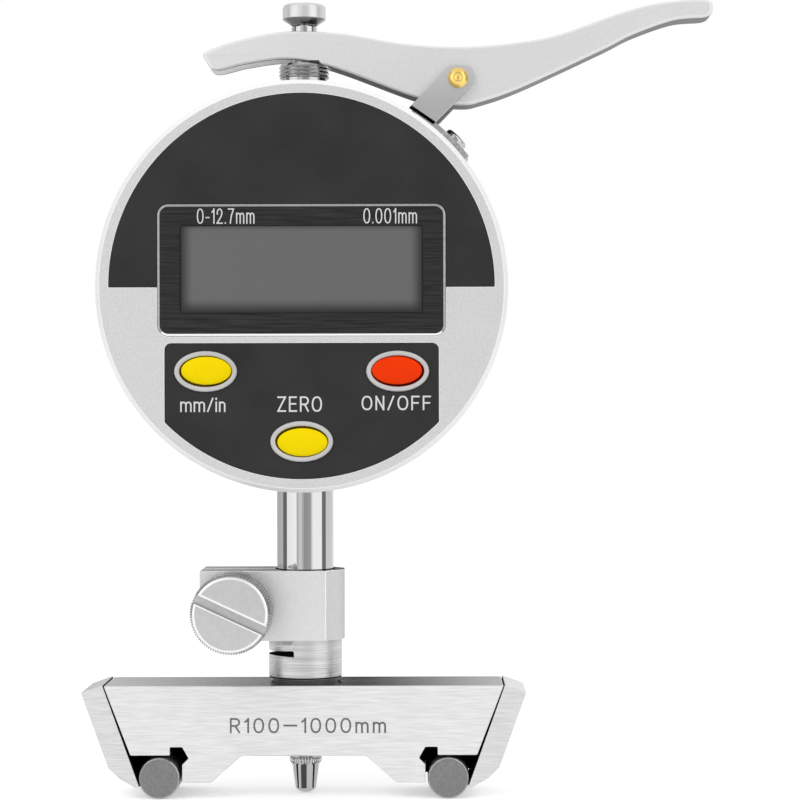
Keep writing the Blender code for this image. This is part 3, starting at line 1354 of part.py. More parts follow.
def pieces():
    """Every sub-part, as pairs of its object and the name of its finish."""
    yield base_bar(), "brushed_steel"
    for side_name, side in SIDES.items():
        yield side_plate(side_name, side), "brushed_steel"
        yield plate_screw(side_name, side), "black_steel"
        yield roller(side_name, side), "roller_steel"
    yield stem_clamp(), "satin_steel"
    yield clamp_screw(), "knob_steel"
    yield stem_tube(), "polished_steel"
    yield lower_bush(), "brass"
    yield front_case(), "silver_paint"
    yield face_plate(), "dark_panel"
    yield keypad_plate(), "dark_panel"
    yield display_frame(), "black_frame"
    yield lcd_module(), "display_glass"
    button_finishes = {"unit_button": "yellow_key", "power_button": "red_key", "zero_button": "yellow_key"}
    for name, (x, z) in BUTTON_PLACES.items():
        yield button(name, x, z), button_finishes[name]
    yield main_board(), "circuit_board"
    yield sensor_board(), "circuit_board"
    yield guide_rail(), "satin_steel"
    yield spindle(), "polished_steel"
    yield scale_carrier(), "black_frame"
    yield guide_pin(), "polished_steel"
    yield return_spring(), "spring_steel"
    yield upper_bush(), "satin_steel"
    yield plunger_cap(), "aluminium"
    yield contact_point(), "polished_steel"
    yield lift_lever(), "cast_lever"
    yield lever_bracket(), "cast_lever"
    yield bracket_screw(), "polished_steel"
    yield pivot_pin(), "brass"
    yield rear_cover(), "silver_paint"
    for number, (x, z) in enumerate(post_places(), 1):
        yield rear_screw(number, x, z), "polished_steel"
    yield battery(), "polished_steel"
    yield battery_cover(), "silver_paint"


def finishes():
    """The finish of each material name: linear colour, metallic and roughness."""
    return {
        "brushed_steel": finish("brushed_steel", (0.72, 0.72, 0.71), 1.0, 0.32),
        "roller_steel": finish("roller_steel", (0.27, 0.27, 0.28), 1.0, 0.4),
        "black_steel": finish("black_steel", (0.03, 0.03, 0.03), 1.0, 0.45),
        "satin_steel": finish("satin_steel", (0.62, 0.62, 0.62), 1.0, 0.38),
        "knob_steel": finish("knob_steel", (0.55, 0.55, 0.56), 1.0, 0.3),
        "polished_steel": finish("polished_steel", (0.7, 0.7, 0.7), 1.0, 0.12),
        "spring_steel": finish("spring_steel", (0.4, 0.4, 0.41), 1.0, 0.3),
        "brass": finish("brass", (0.72, 0.46, 0.1), 1.0, 0.22),
        "silver_paint": finish("silver_paint", (0.64, 0.64, 0.64), 0.6, 0.5),
        "dark_panel": finish("dark_panel", (0.045, 0.045, 0.045), 0.0, 0.6),
        "black_frame": finish("black_frame", (0.02, 0.02, 0.02), 0.0, 0.4),
        "display_glass": finish("display_glass", (0.16, 0.17, 0.16), 0.0, 0.25),
        "yellow_key": finish("yellow_key", (0.9, 0.72, 0.01), 0.0, 0.4),
        "red_key": finish("red_key", (0.88, 0.04, 0.005), 0.0, 0.4),
        "circuit_board": finish("circuit_board", (0.02, 0.12, 0.05), 0.0, 0.5),
        "aluminium": finish("aluminium", (0.75, 0.75, 0.75), 1.0, 0.25),
        "cast_lever": finish("cast_lever", (0.58, 0.58, 0.58), 0.8, 0.45),
    }


def middle_from_above(objects):
    """The middle of the box round the objects, at the height of the ground."""
    corners = [obj.matrix_world @ Vector(corner) for obj in objects for corner in obj.bound_box]
    middle = []
    for axis in (0, 1):
        places = [corner[axis] for corner in corners]
        middle.append((min(places) + max(places)) / 2)
    return Vector((*middle, 0.0))


def empty_at(name, spot, parent=None):
    empty = bpy.data.objects.new(name, None)
    empty.empty_display_size = BAR_DEPTH
    empty.location = spot
    empty.parent = parent
    bpy.context.scene.collection.objects.link(empty)
    return empty


def joint_empties():
    """Each joint's empty: its place on the axis, and the pieces that it carries."""
    plunger = ["spindle", "scale_carrier", "guide_pin", "plunger_cap", "contact_point"]
    joints = {
        "clamp_screw_axis": ((-KNOB_OFFSET, 0.0, KNOB_Z), ["clamp_screw"]),
        "stem_axis": ((0.0, 0.0, STEM_FOOT), ["stem_tube", "lower_bush"]),
        "spindle_axis": ((0.0, 0.0, SPINDLE_FOOT), plunger),
        "lever_axis": ((PIVOT_X, 0.0, PIVOT_Z), ["lift_lever"]),
        "battery_cover_axis": ((0.0, REAR_BACK, BATTERY_Z), ["battery_cover"]),
    }
    for name, (x, z) in BUTTON_PLACES.items():
        joints[name + "_axis"] = ((x, CASE_FRONT, z), [name])
    return joints


def build():
    clear_scene()
    looks = finishes()
    parts = {}
    for obj, look in pieces():
        material = looks[look].copy()
        material.name = obj.name
        obj.data.materials.clear()
        obj.data.materials.append(material)
        obj.data.shade_smooth()
        obj.data.set_sharp_from_angle(angle=SHARP_ANGLE)
        parts[obj.name] = obj
    gauge = empty_at("gauge", -middle_from_above(parts.values()))
    for obj in parts.values():
        obj.parent = gauge
    for name, (spot, carried) in joint_empties().items():
        joint = empty_at(name, spot, gauge)
        for part in carried:
            parts[part].parent = joint
            parts[part].location = -Vector(spot)


build()
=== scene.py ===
"""Looks of the digital radius gauge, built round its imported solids.

Metres, +Z up, the display faces -Y. Each piece is modelled with the stem's axis at X = Y = 0, as the
solids are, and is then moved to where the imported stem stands.
"""

import math

import bmesh
import bpy
from mathutils import Matrix, Vector


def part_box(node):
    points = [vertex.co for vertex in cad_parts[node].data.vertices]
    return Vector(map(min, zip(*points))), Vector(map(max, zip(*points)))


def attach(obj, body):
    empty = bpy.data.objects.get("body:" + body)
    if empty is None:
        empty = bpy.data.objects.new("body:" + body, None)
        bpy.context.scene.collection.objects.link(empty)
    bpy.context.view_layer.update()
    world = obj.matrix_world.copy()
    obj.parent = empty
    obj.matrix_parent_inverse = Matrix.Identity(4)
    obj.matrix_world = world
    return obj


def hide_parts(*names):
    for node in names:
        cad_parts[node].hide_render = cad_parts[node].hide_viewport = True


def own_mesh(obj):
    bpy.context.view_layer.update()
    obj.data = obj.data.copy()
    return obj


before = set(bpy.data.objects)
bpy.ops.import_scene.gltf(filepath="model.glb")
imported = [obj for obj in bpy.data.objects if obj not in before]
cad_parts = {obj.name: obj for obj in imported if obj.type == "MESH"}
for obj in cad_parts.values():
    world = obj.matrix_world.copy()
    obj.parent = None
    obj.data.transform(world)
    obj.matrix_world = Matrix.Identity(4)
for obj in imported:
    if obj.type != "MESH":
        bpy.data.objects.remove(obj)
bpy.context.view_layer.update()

MM = 0.001
DEG = math.pi / 180
QUARTER_TURN = 90.0 * DEG

# Facets and rounding of the dressed forms
CASE_FACETS = 192
LARGE_FACETS = 128
ROUND_FACETS = 64
SMALL_FACETS = 32
OVAL_FACETS = 96
HEX_FACETS = 6
CORNER_STEPS = 10
ROUND_STEPS = 3
BEVEL_ANGLE = 40.0 * DEG
SHARP_ANGLE = 35.0 * DEG
EDGE = 0.08 * MM
SEAM = 0.06 * MM

# Clearances
FIT_GAP = 0.3 * MM
KEY_GAP = 0.2 * MM
KEY_SHIFT = 0.1 * MM
OVERRUN = 3.0 * MM

# Rollers
ROLLER_RADIUS = 2.9 * MM
ROLLER_SPAN = 40.4 * MM
ROLLER_CHAMFER = 0.2 * MM

# Base bar
BAR_DEPTH = 12.5 * MM
BAR_TOP = 15.8 * MM
BAR_SIDE_TILT = 21.0 * DEG
BAR_CHAMFER = 0.15 * MM
FOOT_HEIGHT = 2.3 * MM
FOOT_LENGTH = 4.0 * MM
ARCH_CEILING = 6.0 * MM
ARCH_HALF_LENGTH = 8.7 * MM
RELIEF_LENGTH = 1.7 * MM
RELIEF_RISE = 1.15 * MM
RELIEF_DEPTH = 0.9 * MM
RELIEF_DROP = 1.3 * MM

# Side clamp plates and their screws
PLATE_TILT = 19.9 * DEG
PLATE_THICK = 3.0 * MM
PLATE_RISE = 0.1 * MM
PLATE_LENGTH = 15.2 * MM
PLATE_TOE_LENGTH = 4.0 * MM
PLATE_TOE_THICK = 0.25 * MM
PLATE_TOE_BELLY = 0.35 * MM
PLATE_CHAMFER = 0.1 * MM
PLATE_GROW = 0.16 * MM
PLATE_SCREW_DROP = 6.4 * MM
PLATE_SCREW_SHANK = 0.9 * MM
PLATE_SCREW_LENGTH = 7.5 * MM
PLATE_SCREW_HEAD = 1.9 * MM
PLATE_SCREW_HEAD_THICK = 1.4 * MM
PLATE_SCREW_KEY = 0.85 * MM
PLATE_SCREW_KEY_DEPTH = 0.8 * MM

# Stem clamp
SPIGOT_RADIUS = 4.6 * MM
SPIGOT_DEPTH = 6.3 * MM
GROOVE_HEIGHT = 0.95 * MM
SLEEVE_RADIUS = 5.2 * MM
SLEEVE_LIP = 0.28 * MM
BLOCK_BASE = 22.0 * MM
BLOCK_HEIGHT = 9.8 * MM
BLOCK_DEPTH = 10.8 * MM
BLOCK_LEFT = 14.6 * MM
BLOCK_RIGHT = 5.6 * MM
BLOCK_CHAMFER = 0.09 * MM
# Wall and rise of the black rings that paint shade at the stem's foot and in the saw cut
SHADE_RING_WALL = 0.16 * MM
SHADE_RING_RISE = 0.09 * MM
NOSE_LENGTH = 2.5 * MM
NOSE_DEPTH = 3.6 * MM
JAW_SLIT = 0.9 * MM
SAW_CUT = 0.85 * MM
SAW_CUT_MOUTH = 0.25 * MM
SAW_CUT_Z = 20.1 * MM
SAW_CUT_END = 1.4 * MM
SHOULDER_Z = 18.8 * MM
PASSAGE_RADIUS = 2.8 * MM

# Clamp thumb screw
KNOB_RADIUS = 5.55 * MM
KNOB_THICK = 9.0 * MM
KNOB_OFFSET = 9.65 * MM
KNOB_Z = 26.4 * MM
KNOB_CHAMFER = 0.42 * MM
KNOB_RING = 0.3 * MM
KNOB_STANDOFF = 0.5 * MM
KNOB_NECK = 3.6 * MM
KNOB_NECK_LENGTH = 0.2 * MM
KNOB_SHANK = 2.0 * MM
KNOB_SHANK_REACH = 4.9 * MM
KNOB_SLOT_WIDE = 1.25 * MM
KNOB_SLOT_DEEP = 1.3 * MM
KNOB_LIP_DEEP = 0.14 * MM
KNOB_UPPER_LIP = 0.3 * MM
KNOB_LOWER_LIP = 0.2 * MM
KNOB_SLOT_TILT = -25.0 * DEG
KNURL_TEETH = 94
TOOTH_SPOTS = 4
KNURL_DEPTH = 0.3 * MM

# Stem and its bushes
STEM_RADIUS = 4.0 * MM
STEM_BORE = 3.0 * MM
STEM_FOOT = 21.5 * MM
STEM_INSIDE_CASE = 1.0 * MM
STEM_CHAMFER = 0.25 * MM
NECK_RADIUS = 3.6 * MM
NECK_TOP = 103.3 * MM
NECK_FLANGE_RADIUS = 4.8 * MM
NECK_FLANGE_THICK = 1.3 * MM
NECK_FLANGE_DROP = 0.7 * MM
NECK_UNDERCUT = 0.35 * MM
THREAD_PITCH = 0.53 * MM
THREAD_DEPTH = 0.24 * MM
THREAD_ROW = 0.045 * MM
THREAD_BASE = 101.35 * MM
THREAD_TOP = 103.15 * MM

# Indicator case
CASE_RADIUS = 28.6 * MM
CASE_CENTRE = 71.5 * MM
CASE_FRONT = -10.0 * MM
CASE_BACK = 7.0 * MM
CASE_WALL = 2.5 * MM
CASE_FACE_THICK = 2.4 * MM
CASE_FRONT_CHAMFER = 0.55 * MM
CASE_BACK_CHAMFER = 0.3 * MM
PANEL_POCKET = 1.0 * MM
WINDOW_POCKET = 1.15 * MM
PANEL_THICK = 0.7 * MM
PANEL_RADIUS = 26.65 * MM
PANEL_DROP = 0.1 * MM
POST_RADIUS = 2.5 * MM
POST_X = 11.7 * MM
POST_RISE = 20.265 * MM

# Display
WINDOW_WIDE = 39.8 * MM
WINDOW_HIGH = 18.2 * MM
WINDOW_CORNER = 1.5 * MM
WINDOW_RAISE = 2.2 * MM
WINDOW_PROUD = 0.15 * MM
WINDOW_EDGE = 0.3 * MM
SCREEN_WIDE = 33.6 * MM
SCREEN_HIGH = 12.15 * MM
SCREEN_CORNER = 0.4 * MM
SCREEN_RAISE = 2.3 * MM
SCREEN_SHADE = 2.2 * MM
SCREEN_SHADE_SIDE = 0.9 * MM
SCREEN_SHADE_LIFT = 0.6 * MM
GLASS_RECESS = 0.1 * MM
MODULE_WIDE = 36.6 * MM
MODULE_HIGH = 14.8 * MM
MODULE_THICK = 1.7 * MM

# Keypad
KEYPAD_HALF_WIDE = 18.9 * MM
KEYPAD_DROP = 7.95 * MM
KEYPAD_CORNER = 0.9 * MM
BUTTON_SIDE = 13.27 * MM
BUTTON_UPPER_DROP = 11.8 * MM
BUTTON_LOWER_DROP = 21.5 * MM
RIM_HALF_WIDE = 4.34 * MM
RIM_HALF_HIGH = 2.82 * MM
RIM_PROUD = 0.45 * MM
RIM_WALL = 0.68 * MM
RIM_ROUND = 0.3 * MM
BUTTON_PROUD = 0.85 * MM
BUTTON_CROWN = 0.55 * MM
BUTTON_FLANGE = 0.75 * MM
BUTTON_FLANGE_THICK = 0.6 * MM
BUTTON_PLUNGER = 1.2 * MM
BUTTON_PLUNGER_LENGTH = 0.6 * MM
CROWN_ROWS = 8

# Spindle, cap and contact point
SPINDLE_RADIUS = 1.8 * MM
SPINDLE_STUD = 1.0 * MM
STUD_LENGTH = 2.4 * MM
CAP_RADIUS = 3.05 * MM
CAP_BASE = 108.9 * MM
CAP_HEIGHT = 2.92 * MM
CAP_TAPER_HEIGHT = 0.8 * MM
CAP_TAPER_INSET = 1.05 * MM
CAP_CORNER = 0.6 * MM
CAP_LIP = 0.12 * MM
CONTACT_TIP = 0.1 * MM
CONTACT_COLLAR_RADIUS = 2.3 * MM
CONTACT_COLLAR_HEIGHT = 0.9 * MM
CONTACT_TOP = 5.2 * MM
CONTACT_TEETH = 30
CONTACT_TOOTH = 0.2 * MM
CONTACT_ROOT_RADIUS = 1.95 * MM
CONTACT_END_RADIUS = 1.48 * MM
CONTACT_DOME = 0.85 * MM

# Return spring
SPRING_RADIUS = 2.5 * MM
SPRING_WIRE = 0.22 * MM
SPRING_TURNS = 15
SPRING_STEPS = 32
SPRING_SIDES = 10
HUB_TOP = 56.0 * MM

# Lift lever, bracket and pin
PIVOT_X = 21.77 * MM
PIVOT_Z = 100.9 * MM
PIVOT_PIN_RADIUS = 0.9 * MM
PIVOT_HEAD_RADIUS = 1.4 * MM
PIVOT_HEAD_THICK = 0.75 * MM
PIVOT_DIMPLE_RADIUS = 0.5 * MM
PIVOT_DIMPLE_DEPTH = 0.3 * MM
PIVOT_HEAD_FALL = 0.75
PIVOT_TAIL_RADIUS = 1.2 * MM
PIVOT_TAIL_THICK = 0.5 * MM
LEVER_ARM = 36.0 * MM
LEVER_DEPTH = 6.4 * MM
LEVER_EDGE = 0.45 * MM
LEVER_EDGE_STEPS = 5
LEVER_UNDERSIDE = 60.0 * DEG
FORK_GAP = 4.3 * MM
FORK_SLOT_END = 1.0 * MM
FORK_ROOT_RADIUS = 1.6 * MM
LEVER_UPPER_SHARES = (
    (-0.990, 0.106), (-0.879, 0.149), (-0.723, 0.183), (-0.600, 0.189), (-0.437, 0.178),
    (-0.204, 0.139), (0.028, 0.127), (0.243, 0.145), (0.404, 0.177), (0.644, 0.261), (0.803, 0.299),
    (0.972, 0.309), (0.998, 0.277),
)
LEVER_LOWER_SHARES = (
    (0.975, 0.243), (0.844, 0.229), (0.684, 0.173), (0.564, 0.113), (0.245, -0.034), (0.085, -0.090),
    (0.012, -0.102), (-0.097, -0.090), (-0.204, -0.058), (-0.437, 0.030), (-0.560, 0.066),
    (-0.682, 0.081), (-0.826, 0.063), (-0.948, 0.037), (-0.984, 0.070),
)
CURVE_STEPS = 10
EAR_THICK = 0.9 * MM
EAR_WIDE = 4.1 * MM
EAR_TILT = 45.7 * DEG
EAR_EDGE = 0.16 * MM
EAR_STEP = 0.3 * MM
EAR_TRIM = 0.5 * MM
EAR_END_SHARES = ((1.05, -0.26), (1.05, 0.53), (0.78, 0.84), (-0.47, 0.89), (-0.79, 0.69))
EAR_SHOULDER_LOW = 1.0 * MM
EAR_SHOULDER_HIGH = 0.5 * MM
STRAP_THICK = 0.8 * MM
STRAP_START_ANGLE = 38.5 * DEG
STRAP_END_ANGLE = 57.5 * DEG
STRAP_WIDE_END_ANGLE = 51.0 * DEG
STRAP_STEP_ANGLE = 0.5 * DEG
STRAP_EAR_LAP = 0.4 * MM
STRAP_SCREW_ANGLE = 44.6 * DEG
STRAP_SCREW_SHANK = 0.8 * MM
STRAP_SCREW_LENGTH = 2.7 * MM
STRAP_SCREW_HEAD = 1.75 * MM
STRAP_SCREW_HEAD_THICK = 0.95 * MM
STRAP_SCREW_SLOT = 0.45 * MM
STRAP_SCREW_SLOT_DEPTH = 0.5 * MM

# Rear cover, its screws and the battery cover
REAR_THICK = 2.0 * MM
REAR_CHAMFER = 0.5 * MM
REAR_SCREW_SHANK = 0.8 * MM
REAR_SCREW_HEAD = 1.8 * MM
REAR_SCREW_HEAD_THICK = 1.0 * MM
REAR_SCREW_LENGTH = 5.0 * MM
REAR_SCREW_SLOT = 0.5 * MM
REAR_SCREW_SLOT_LONG = 2.6 * MM
REAR_SCREW_SLOT_DEPTH = 0.5 * MM
BATTERY_DROP = 8.5 * MM
LID_RADIUS = 9.0 * MM
LID_PROUD = 0.2 * MM
LID_CHAMFER = 0.35 * MM
LID_SLOT_LONG = 10.0 * MM
LID_SLOT_WIDE = 1.6 * MM
LID_SLOT_DEEP = 0.9 * MM

# Lettering
ENGRAVED_STROKE = 0.25 * MM
LETTER_PROUD = 0.02 * MM
LETTER_LEVELS = 4
CLOSED_SHARE = 0.1
LEAST_MITRE = 0.5
ENGRAVED_FOOT = (-10.3, 9.22)
ENGRAVED_SIZE = (21.8, 2.12)
ENGRAVED_GAP = 0.4

# Places that several pieces share
BAR_HALF_DEPTH = BAR_DEPTH / 2
ROLLER_X = ROLLER_SPAN / 2
POCKET_CEILING = 2 * ROLLER_RADIUS + FIT_GAP
POCKET_WALL = ROLLER_X - ROLLER_RADIUS - FIT_GAP
PLATE_NORMAL = Vector((math.cos(PLATE_TILT), -math.sin(PLATE_TILT)))
PLATE_DOWN = Vector((-math.sin(PLATE_TILT), -math.cos(PLATE_TILT)))
PLATE_DISTANCE = PLATE_NORMAL.dot(Vector((ROLLER_X, ROLLER_RADIUS))) + ROLLER_RADIUS + FIT_GAP
PLATE_TOP = BAR_TOP + PLATE_RISE
BLOCK_TOP = BLOCK_BASE + BLOCK_HEIGHT
SLEEVE_BASE = BAR_TOP + GROOVE_HEIGHT
STEM_HOLE = STEM_RADIUS + SEAM
SPINDLE_HOLE = SPINDLE_RADIUS + FIT_GAP
KNOB_BACK = -BLOCK_DEPTH / 2 - KNOB_STANDOFF
KNOB_FRONT = KNOB_BACK - KNOB_THICK
CASE_TOP = CASE_CENTRE + CASE_RADIUS
CASE_INNER = CASE_RADIUS - CASE_WALL
CASE_FLOOR = CASE_FRONT + CASE_FACE_THICK
CAVITY_BOTTOM = CASE_CENTRE - CASE_INNER
CAVITY_TOP = CASE_CENTRE + CASE_INNER
STEM_TOP = CAVITY_BOTTOM + STEM_INSIDE_CASE
WINDOW_Z = CASE_CENTRE + WINDOW_RAISE
SCREEN_Z = CASE_CENTRE + SCREEN_RAISE
WINDOW_FRONT = CASE_FRONT - WINDOW_PROUD
PANEL_BACK = CASE_FRONT + PANEL_THICK
MODULE_FRONT = CASE_FLOOR + FIT_GAP
MODULE_BACK = MODULE_FRONT + MODULE_THICK
BUTTON_HALF_WIDE = RIM_HALF_WIDE - RIM_WALL - KEY_GAP
BUTTON_HALF_HIGH = RIM_HALF_HIGH - RIM_WALL - KEY_GAP
FLANGE_FRONT = CASE_FLOOR + FIT_GAP
FLANGE_BACK = FLANGE_FRONT + BUTTON_FLANGE_THICK
PLUNGER_END = FLANGE_BACK + BUTTON_PLUNGER_LENGTH
SPINDLE_FOOT = CONTACT_TOP + FIT_GAP
SPINDLE_SHOULDER = CAP_BASE - FIT_GAP
NECK_FLANGE_TOP = CAVITY_TOP - NECK_FLANGE_DROP
NECK_FOOT = NECK_FLANGE_TOP - NECK_FLANGE_THICK
REAR_FRONT = CASE_BACK + FIT_GAP
REAR_BACK = REAR_FRONT + REAR_THICK
REAR_RADIUS = CASE_RADIUS - FIT_GAP
BATTERY_Z = CASE_CENTRE - BATTERY_DROP
EAR_INNER = LEVER_DEPTH / 2 + FIT_GAP
EAR_OUTER = EAR_INNER + EAR_THICK
STRAP_INNER = CASE_RADIUS + FIT_GAP
STRAP_OUTER = STRAP_INNER + STRAP_THICK
BUTTON_PLACES = {
    "unit_button": (-BUTTON_SIDE, CASE_CENTRE - BUTTON_UPPER_DROP),
    "power_button": (BUTTON_SIDE, CASE_CENTRE - BUTTON_UPPER_DROP),
    "zero_button": (0.0, CASE_CENTRE - BUTTON_LOWER_DROP),
}
KEY_SHIFTS = {"unit": (1, 1), "power": (-1, 1), "zero": (1, -1)}
SIDES = {"left": -1, "right": 1}

UPRIGHT = Matrix.Identity(4)
FRONT_VIEW = Matrix(((1, 0, 0, 0), (0, 0, 1, 0), (0, 1, 0, 0), (0, 0, 0, 1)))

stem_low, stem_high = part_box("stem_tube")
AXIS = Vector(((stem_low.x + stem_high.x) / 2, (stem_low.y + stem_high.y) / 2, 0.0))


# Mesh building


def solid_from(bm, name, place=UPRIGHT):
    """The object of this bmesh, with its faces turned outwards."""
    bmesh.ops.transform(bm, matrix=place, verts=bm.verts)
    bmesh.ops.recalc_face_normals(bm, faces=bm.faces)
    mesh = bpy.data.meshes.new(name)
    bm.to_mesh(mesh)
    bm.free()
    obj = bpy.data.objects.new(name, mesh)
    bpy.context.scene.collection.objects.link(obj)
    return obj


def slab(name, outline, low, high, place=FRONT_VIEW):
    """The flat outline swept straight from low to high."""
    bm = bmesh.new()
    ends = [[bm.verts.new((a, b, c)) for a, b in outline] for c in (low, high)]
    for end in ends:
        bm.faces.new(end)
    count = len(outline)
    for i in range(count):
        j = (i + 1) % count
        bm.faces.new((ends[0][i], ends[0][j], ends[1][j], ends[1][i]))
    return solid_from(bm, name, place)


def lofted(name, rows, place=UPRIGHT, ring=False):
    """A skin through rows of as many points each, with flat ends, or closed on itself as a ring."""
    bm = bmesh.new()
    made = [[bm.verts.new(spot) for spot in row] for row in rows]
    pairs = list(zip(made, made[1:]))
    if ring:
        pairs.append((made[-1], made[0]))
    for low, high in pairs:
        for i in range(len(low)):
            j = (i + 1) % len(low)
            bm.faces.new((low[i], low[j], high[j], high[i]))
    if not ring:
        bm.faces.new(made[0])
        bm.faces.new(made[-1])
    return solid_from(bm, name, place)


def circle_row(radius, height, sides, root=None):
    """A row of spots round Z. With a root, each second pair of them is the gap beside a tooth."""
    row = []
    for i in range(sides):
        turn = 2 * math.pi * i / sides
        reach = root if root and i % TOOTH_SPOTS >= TOOTH_SPOTS / 2 else radius
        row.append((reach * math.cos(turn), reach * math.sin(turn), height))
    return row


def circle_rows(profile, sides):
    return [circle_row(radius, height, sides) for radius, height in profile]


def turned(name, profile, place=UPRIGHT, sides=ROUND_FACETS, ring=False):
    """The profile of (radius, height) pairs swung round Z, with flat ends or closed as a ring."""
    return lofted(name, circle_rows(profile, sides), place, ring)


def round_bar(radius, low, high, place=UPRIGHT, sides=ROUND_FACETS):
    return turned("bar", ((radius, low), (radius, high)), place, sides)


def settle(obj):
    """The object with its modifiers applied."""
    graph = bpy.context.evaluated_depsgraph_get()
    mesh = bpy.data.meshes.new_from_object(obj.evaluated_get(graph))
    obj.modifiers.clear()
    obj.data = mesh
    mesh.name = obj.name
    return obj


def combine(body, others, operation):
    """The body after a Boolean with each of the others, which are used up."""
    for other in others:
        step = body.modifiers.new(operation.lower(), "BOOLEAN")
        step.operation = operation
        step.solver = "EXACT"
        step.object = other
    settle(body)
    for other in others:
        bpy.data.objects.remove(other, do_unlink=True)
    return body


def cut(body, *cutters):
    return combine(body, cutters, "DIFFERENCE")


def join(body, *others):
    return combine(body, others, "UNION")


def soften(body, width, segments=ROUND_STEPS, look=-1, clamp=True):
    """The body with its sharp edges rounded. A look is the number of the rounded faces' material."""
    step = body.modifiers.new("edge", "BEVEL")
    step.width = width
    step.segments = segments
    step.limit_method = "ANGLE"
    step.angle_limit = BEVEL_ANGLE
    step.material = look
    step.use_clamp_overlap = clamp
    return settle(body)


def rearward(x, z):
    """A turned piece's axis along +Y through x, z."""
    return Matrix.Translation((x, 0.0, z)) @ Matrix.Rotation(-QUARTER_TURN, 4, "X")


def radial(angle):
    """A turned piece's axis out of the case's centre, at this angle above +X."""
    return Matrix.Translation((0.0, 0.0, CASE_CENTRE)) @ Matrix.Rotation(QUARTER_TURN - angle, 4, "Y")


def ellipse(half_wide, half_high, x, z, count=OVAL_FACETS):
    turns = [2 * math.pi * i / count for i in range(count)]
    return [(x + half_wide * math.cos(t), z + half_high * math.sin(t)) for t in turns]


def arc(radius, start, end, count, x=0.0, z=0.0):
    turns = [start + (end - start) * i / count for i in range(count + 1)]
    return [(x + radius * math.cos(t), z + radius * math.sin(t)) for t in turns]


def box_outline(wide, high, x=0.0, z=0.0):
    return [(x + a * wide / 2, z + b * high / 2) for a, b in ((-1, -1), (1, -1), (1, 1), (-1, 1))]


def rounded_box(wide, high, corner, x, z, steps=CORNER_STEPS):
    """A rectangle with round corners."""
    points = []
    for quarter, (a, b) in enumerate(((1, 1), (-1, 1), (-1, -1), (1, -1))):
        start = quarter * QUARTER_TURN
        centre_x = x + a * (wide / 2 - corner)
        centre_z = z + b * (high / 2 - corner)
        points += arc(corner, start, start + QUARTER_TURN, steps, centre_x, centre_z)
    return points


def smooth_loop(points, steps):
    """A closed Catmull-Rom curve through the points."""
    count = len(points)
    result = []
    for i in range(count):
        before, first, second, after = (Vector(points[(i + k) % count]) for k in (-1, 0, 1, 2))
        for step in range(steps):
            t = step / steps
            spot = 2 * first + (second - before) * t
            spot += (2 * before - 5 * first + 4 * second - after) * t * t
            spot += (3 * first - before - 3 * second + after) * t * t * t
            result.append(tuple(spot / 2))
    return result


def shaded(obj):
    """Smooth shading that keeps broad faces flat."""
    obj.data.shade_smooth()
    obj.data.set_sharp_from_angle(angle=SHARP_ANGLE)
    step = obj.modifiers.new("normals", "WEIGHTED_NORMAL")
    step.keep_sharp = True
    return settle(obj)


def wear(obj, *looks):
    """The piece with these looks behind those that it has."""
    for look in looks:
        obj.data.materials.append(LOOKS[look])
    return obj


def tone(obj, look, test):
    """One more look for the piece, on the faces that pass the test."""
    wear(obj, look)
    last = len(obj.data.materials) - 1
    for face in obj.data.polygons:
        if test(face):
            face.material_index = last
    return obj


def show(obj, body, slot, *nodes, look=None):
    """Shades the piece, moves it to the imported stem, and lets it ride and stand for these nodes.

    A piece without a look of its own wears the one given, or else the one named as its slot.
    """
    if not obj.data.materials:
        wear(obj, look or slot)
    shaded(obj)
    obj.data.transform(Matrix.Translation(AXIS))
    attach(obj, body)
    if nodes:
        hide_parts(*nodes)
    return obj


# Finishes

# The curve from a colour's code to its linear value
SRGB_KNEE = 0.04045
SRGB_SLOPE = 12.92
SRGB_OFFSET = 0.055
SRGB_POWER = 2.4

# The part of a noise that a look's two colours or two degrees of gloss are spread over
NOISE_LOW = 0.3
NOISE_HIGH = 0.7
# Octaves of the noises, and the shine of a look that names none
STREAK_DETAIL = 4.0
CLOUD_DETAIL = 3.0
GRAIN_DETAIL = 2.0
USUAL_SHINE = 0.5
NO_TURN = (0.0, 0.0, 0.0)

# Each kind of look: its least and greatest roughness as shares, the depth of its relief, and how
# much coarser its clouds are than its grain
BRUSHED_GLOSS = (0.85, 1.2)
CAST_GLOSS = (0.9, 1.12)
POLISHED_GLOSS = (0.8, 1.3)
PLASTIC_GLOSS = (0.9, 1.1)
TURNING_RELIEF = 0.004 * MM
FINE_RELIEF = 0.01 * MM
COARSE_RELIEF = 0.02 * MM
TURNING_MARKS = (300.0, 300.0, 9000.0)
TURNING_STRENGTH = 0.05
PLASTIC_GRAIN = 3500.0
PLASTIC_STRENGTH = 0.12
STREAK_CLOUDS = 3
CAST_CLOUDS = 40
PLASTIC_CLOUDS = 30

GLASS_SHADES = ("2e2e2e", "6a6a6a")
GLASS_GRAIN = 400.0
GLASS_STRENGTH = 0.02
# The bracket's colours from below the pivot up to it: painted light
BRACKET_PAINTED_LIGHT = ("c6c6c6", "e0e0e0")
BOARD_SHADES = ("12492a", "2a7a4c")
BOARD_TRACKS = (900.0, 900.0, 260.0)
BOARD_TRACK_EDGES = (0.48, 0.52)
BOARD_STRENGTH = 0.2


def linear(code):
    """The linear colour of a six-digit code."""
    values = []
    for start in (0, 2, 4):
        share = int(code[start : start + 2], 16) / 255
        curved = ((share + SRGB_OFFSET) / (1 + SRGB_OFFSET)) ** SRGB_POWER
        values.append(share / SRGB_SLOPE if share <= SRGB_KNEE else curved)
    return (*values, 1.0)


def fill(node, **values):
    """The node with these values in its inputs, whose names have an underscore for each space."""
    for key, value in values.items():
        node.inputs[key.replace("_", " ")].default_value = value
    return node


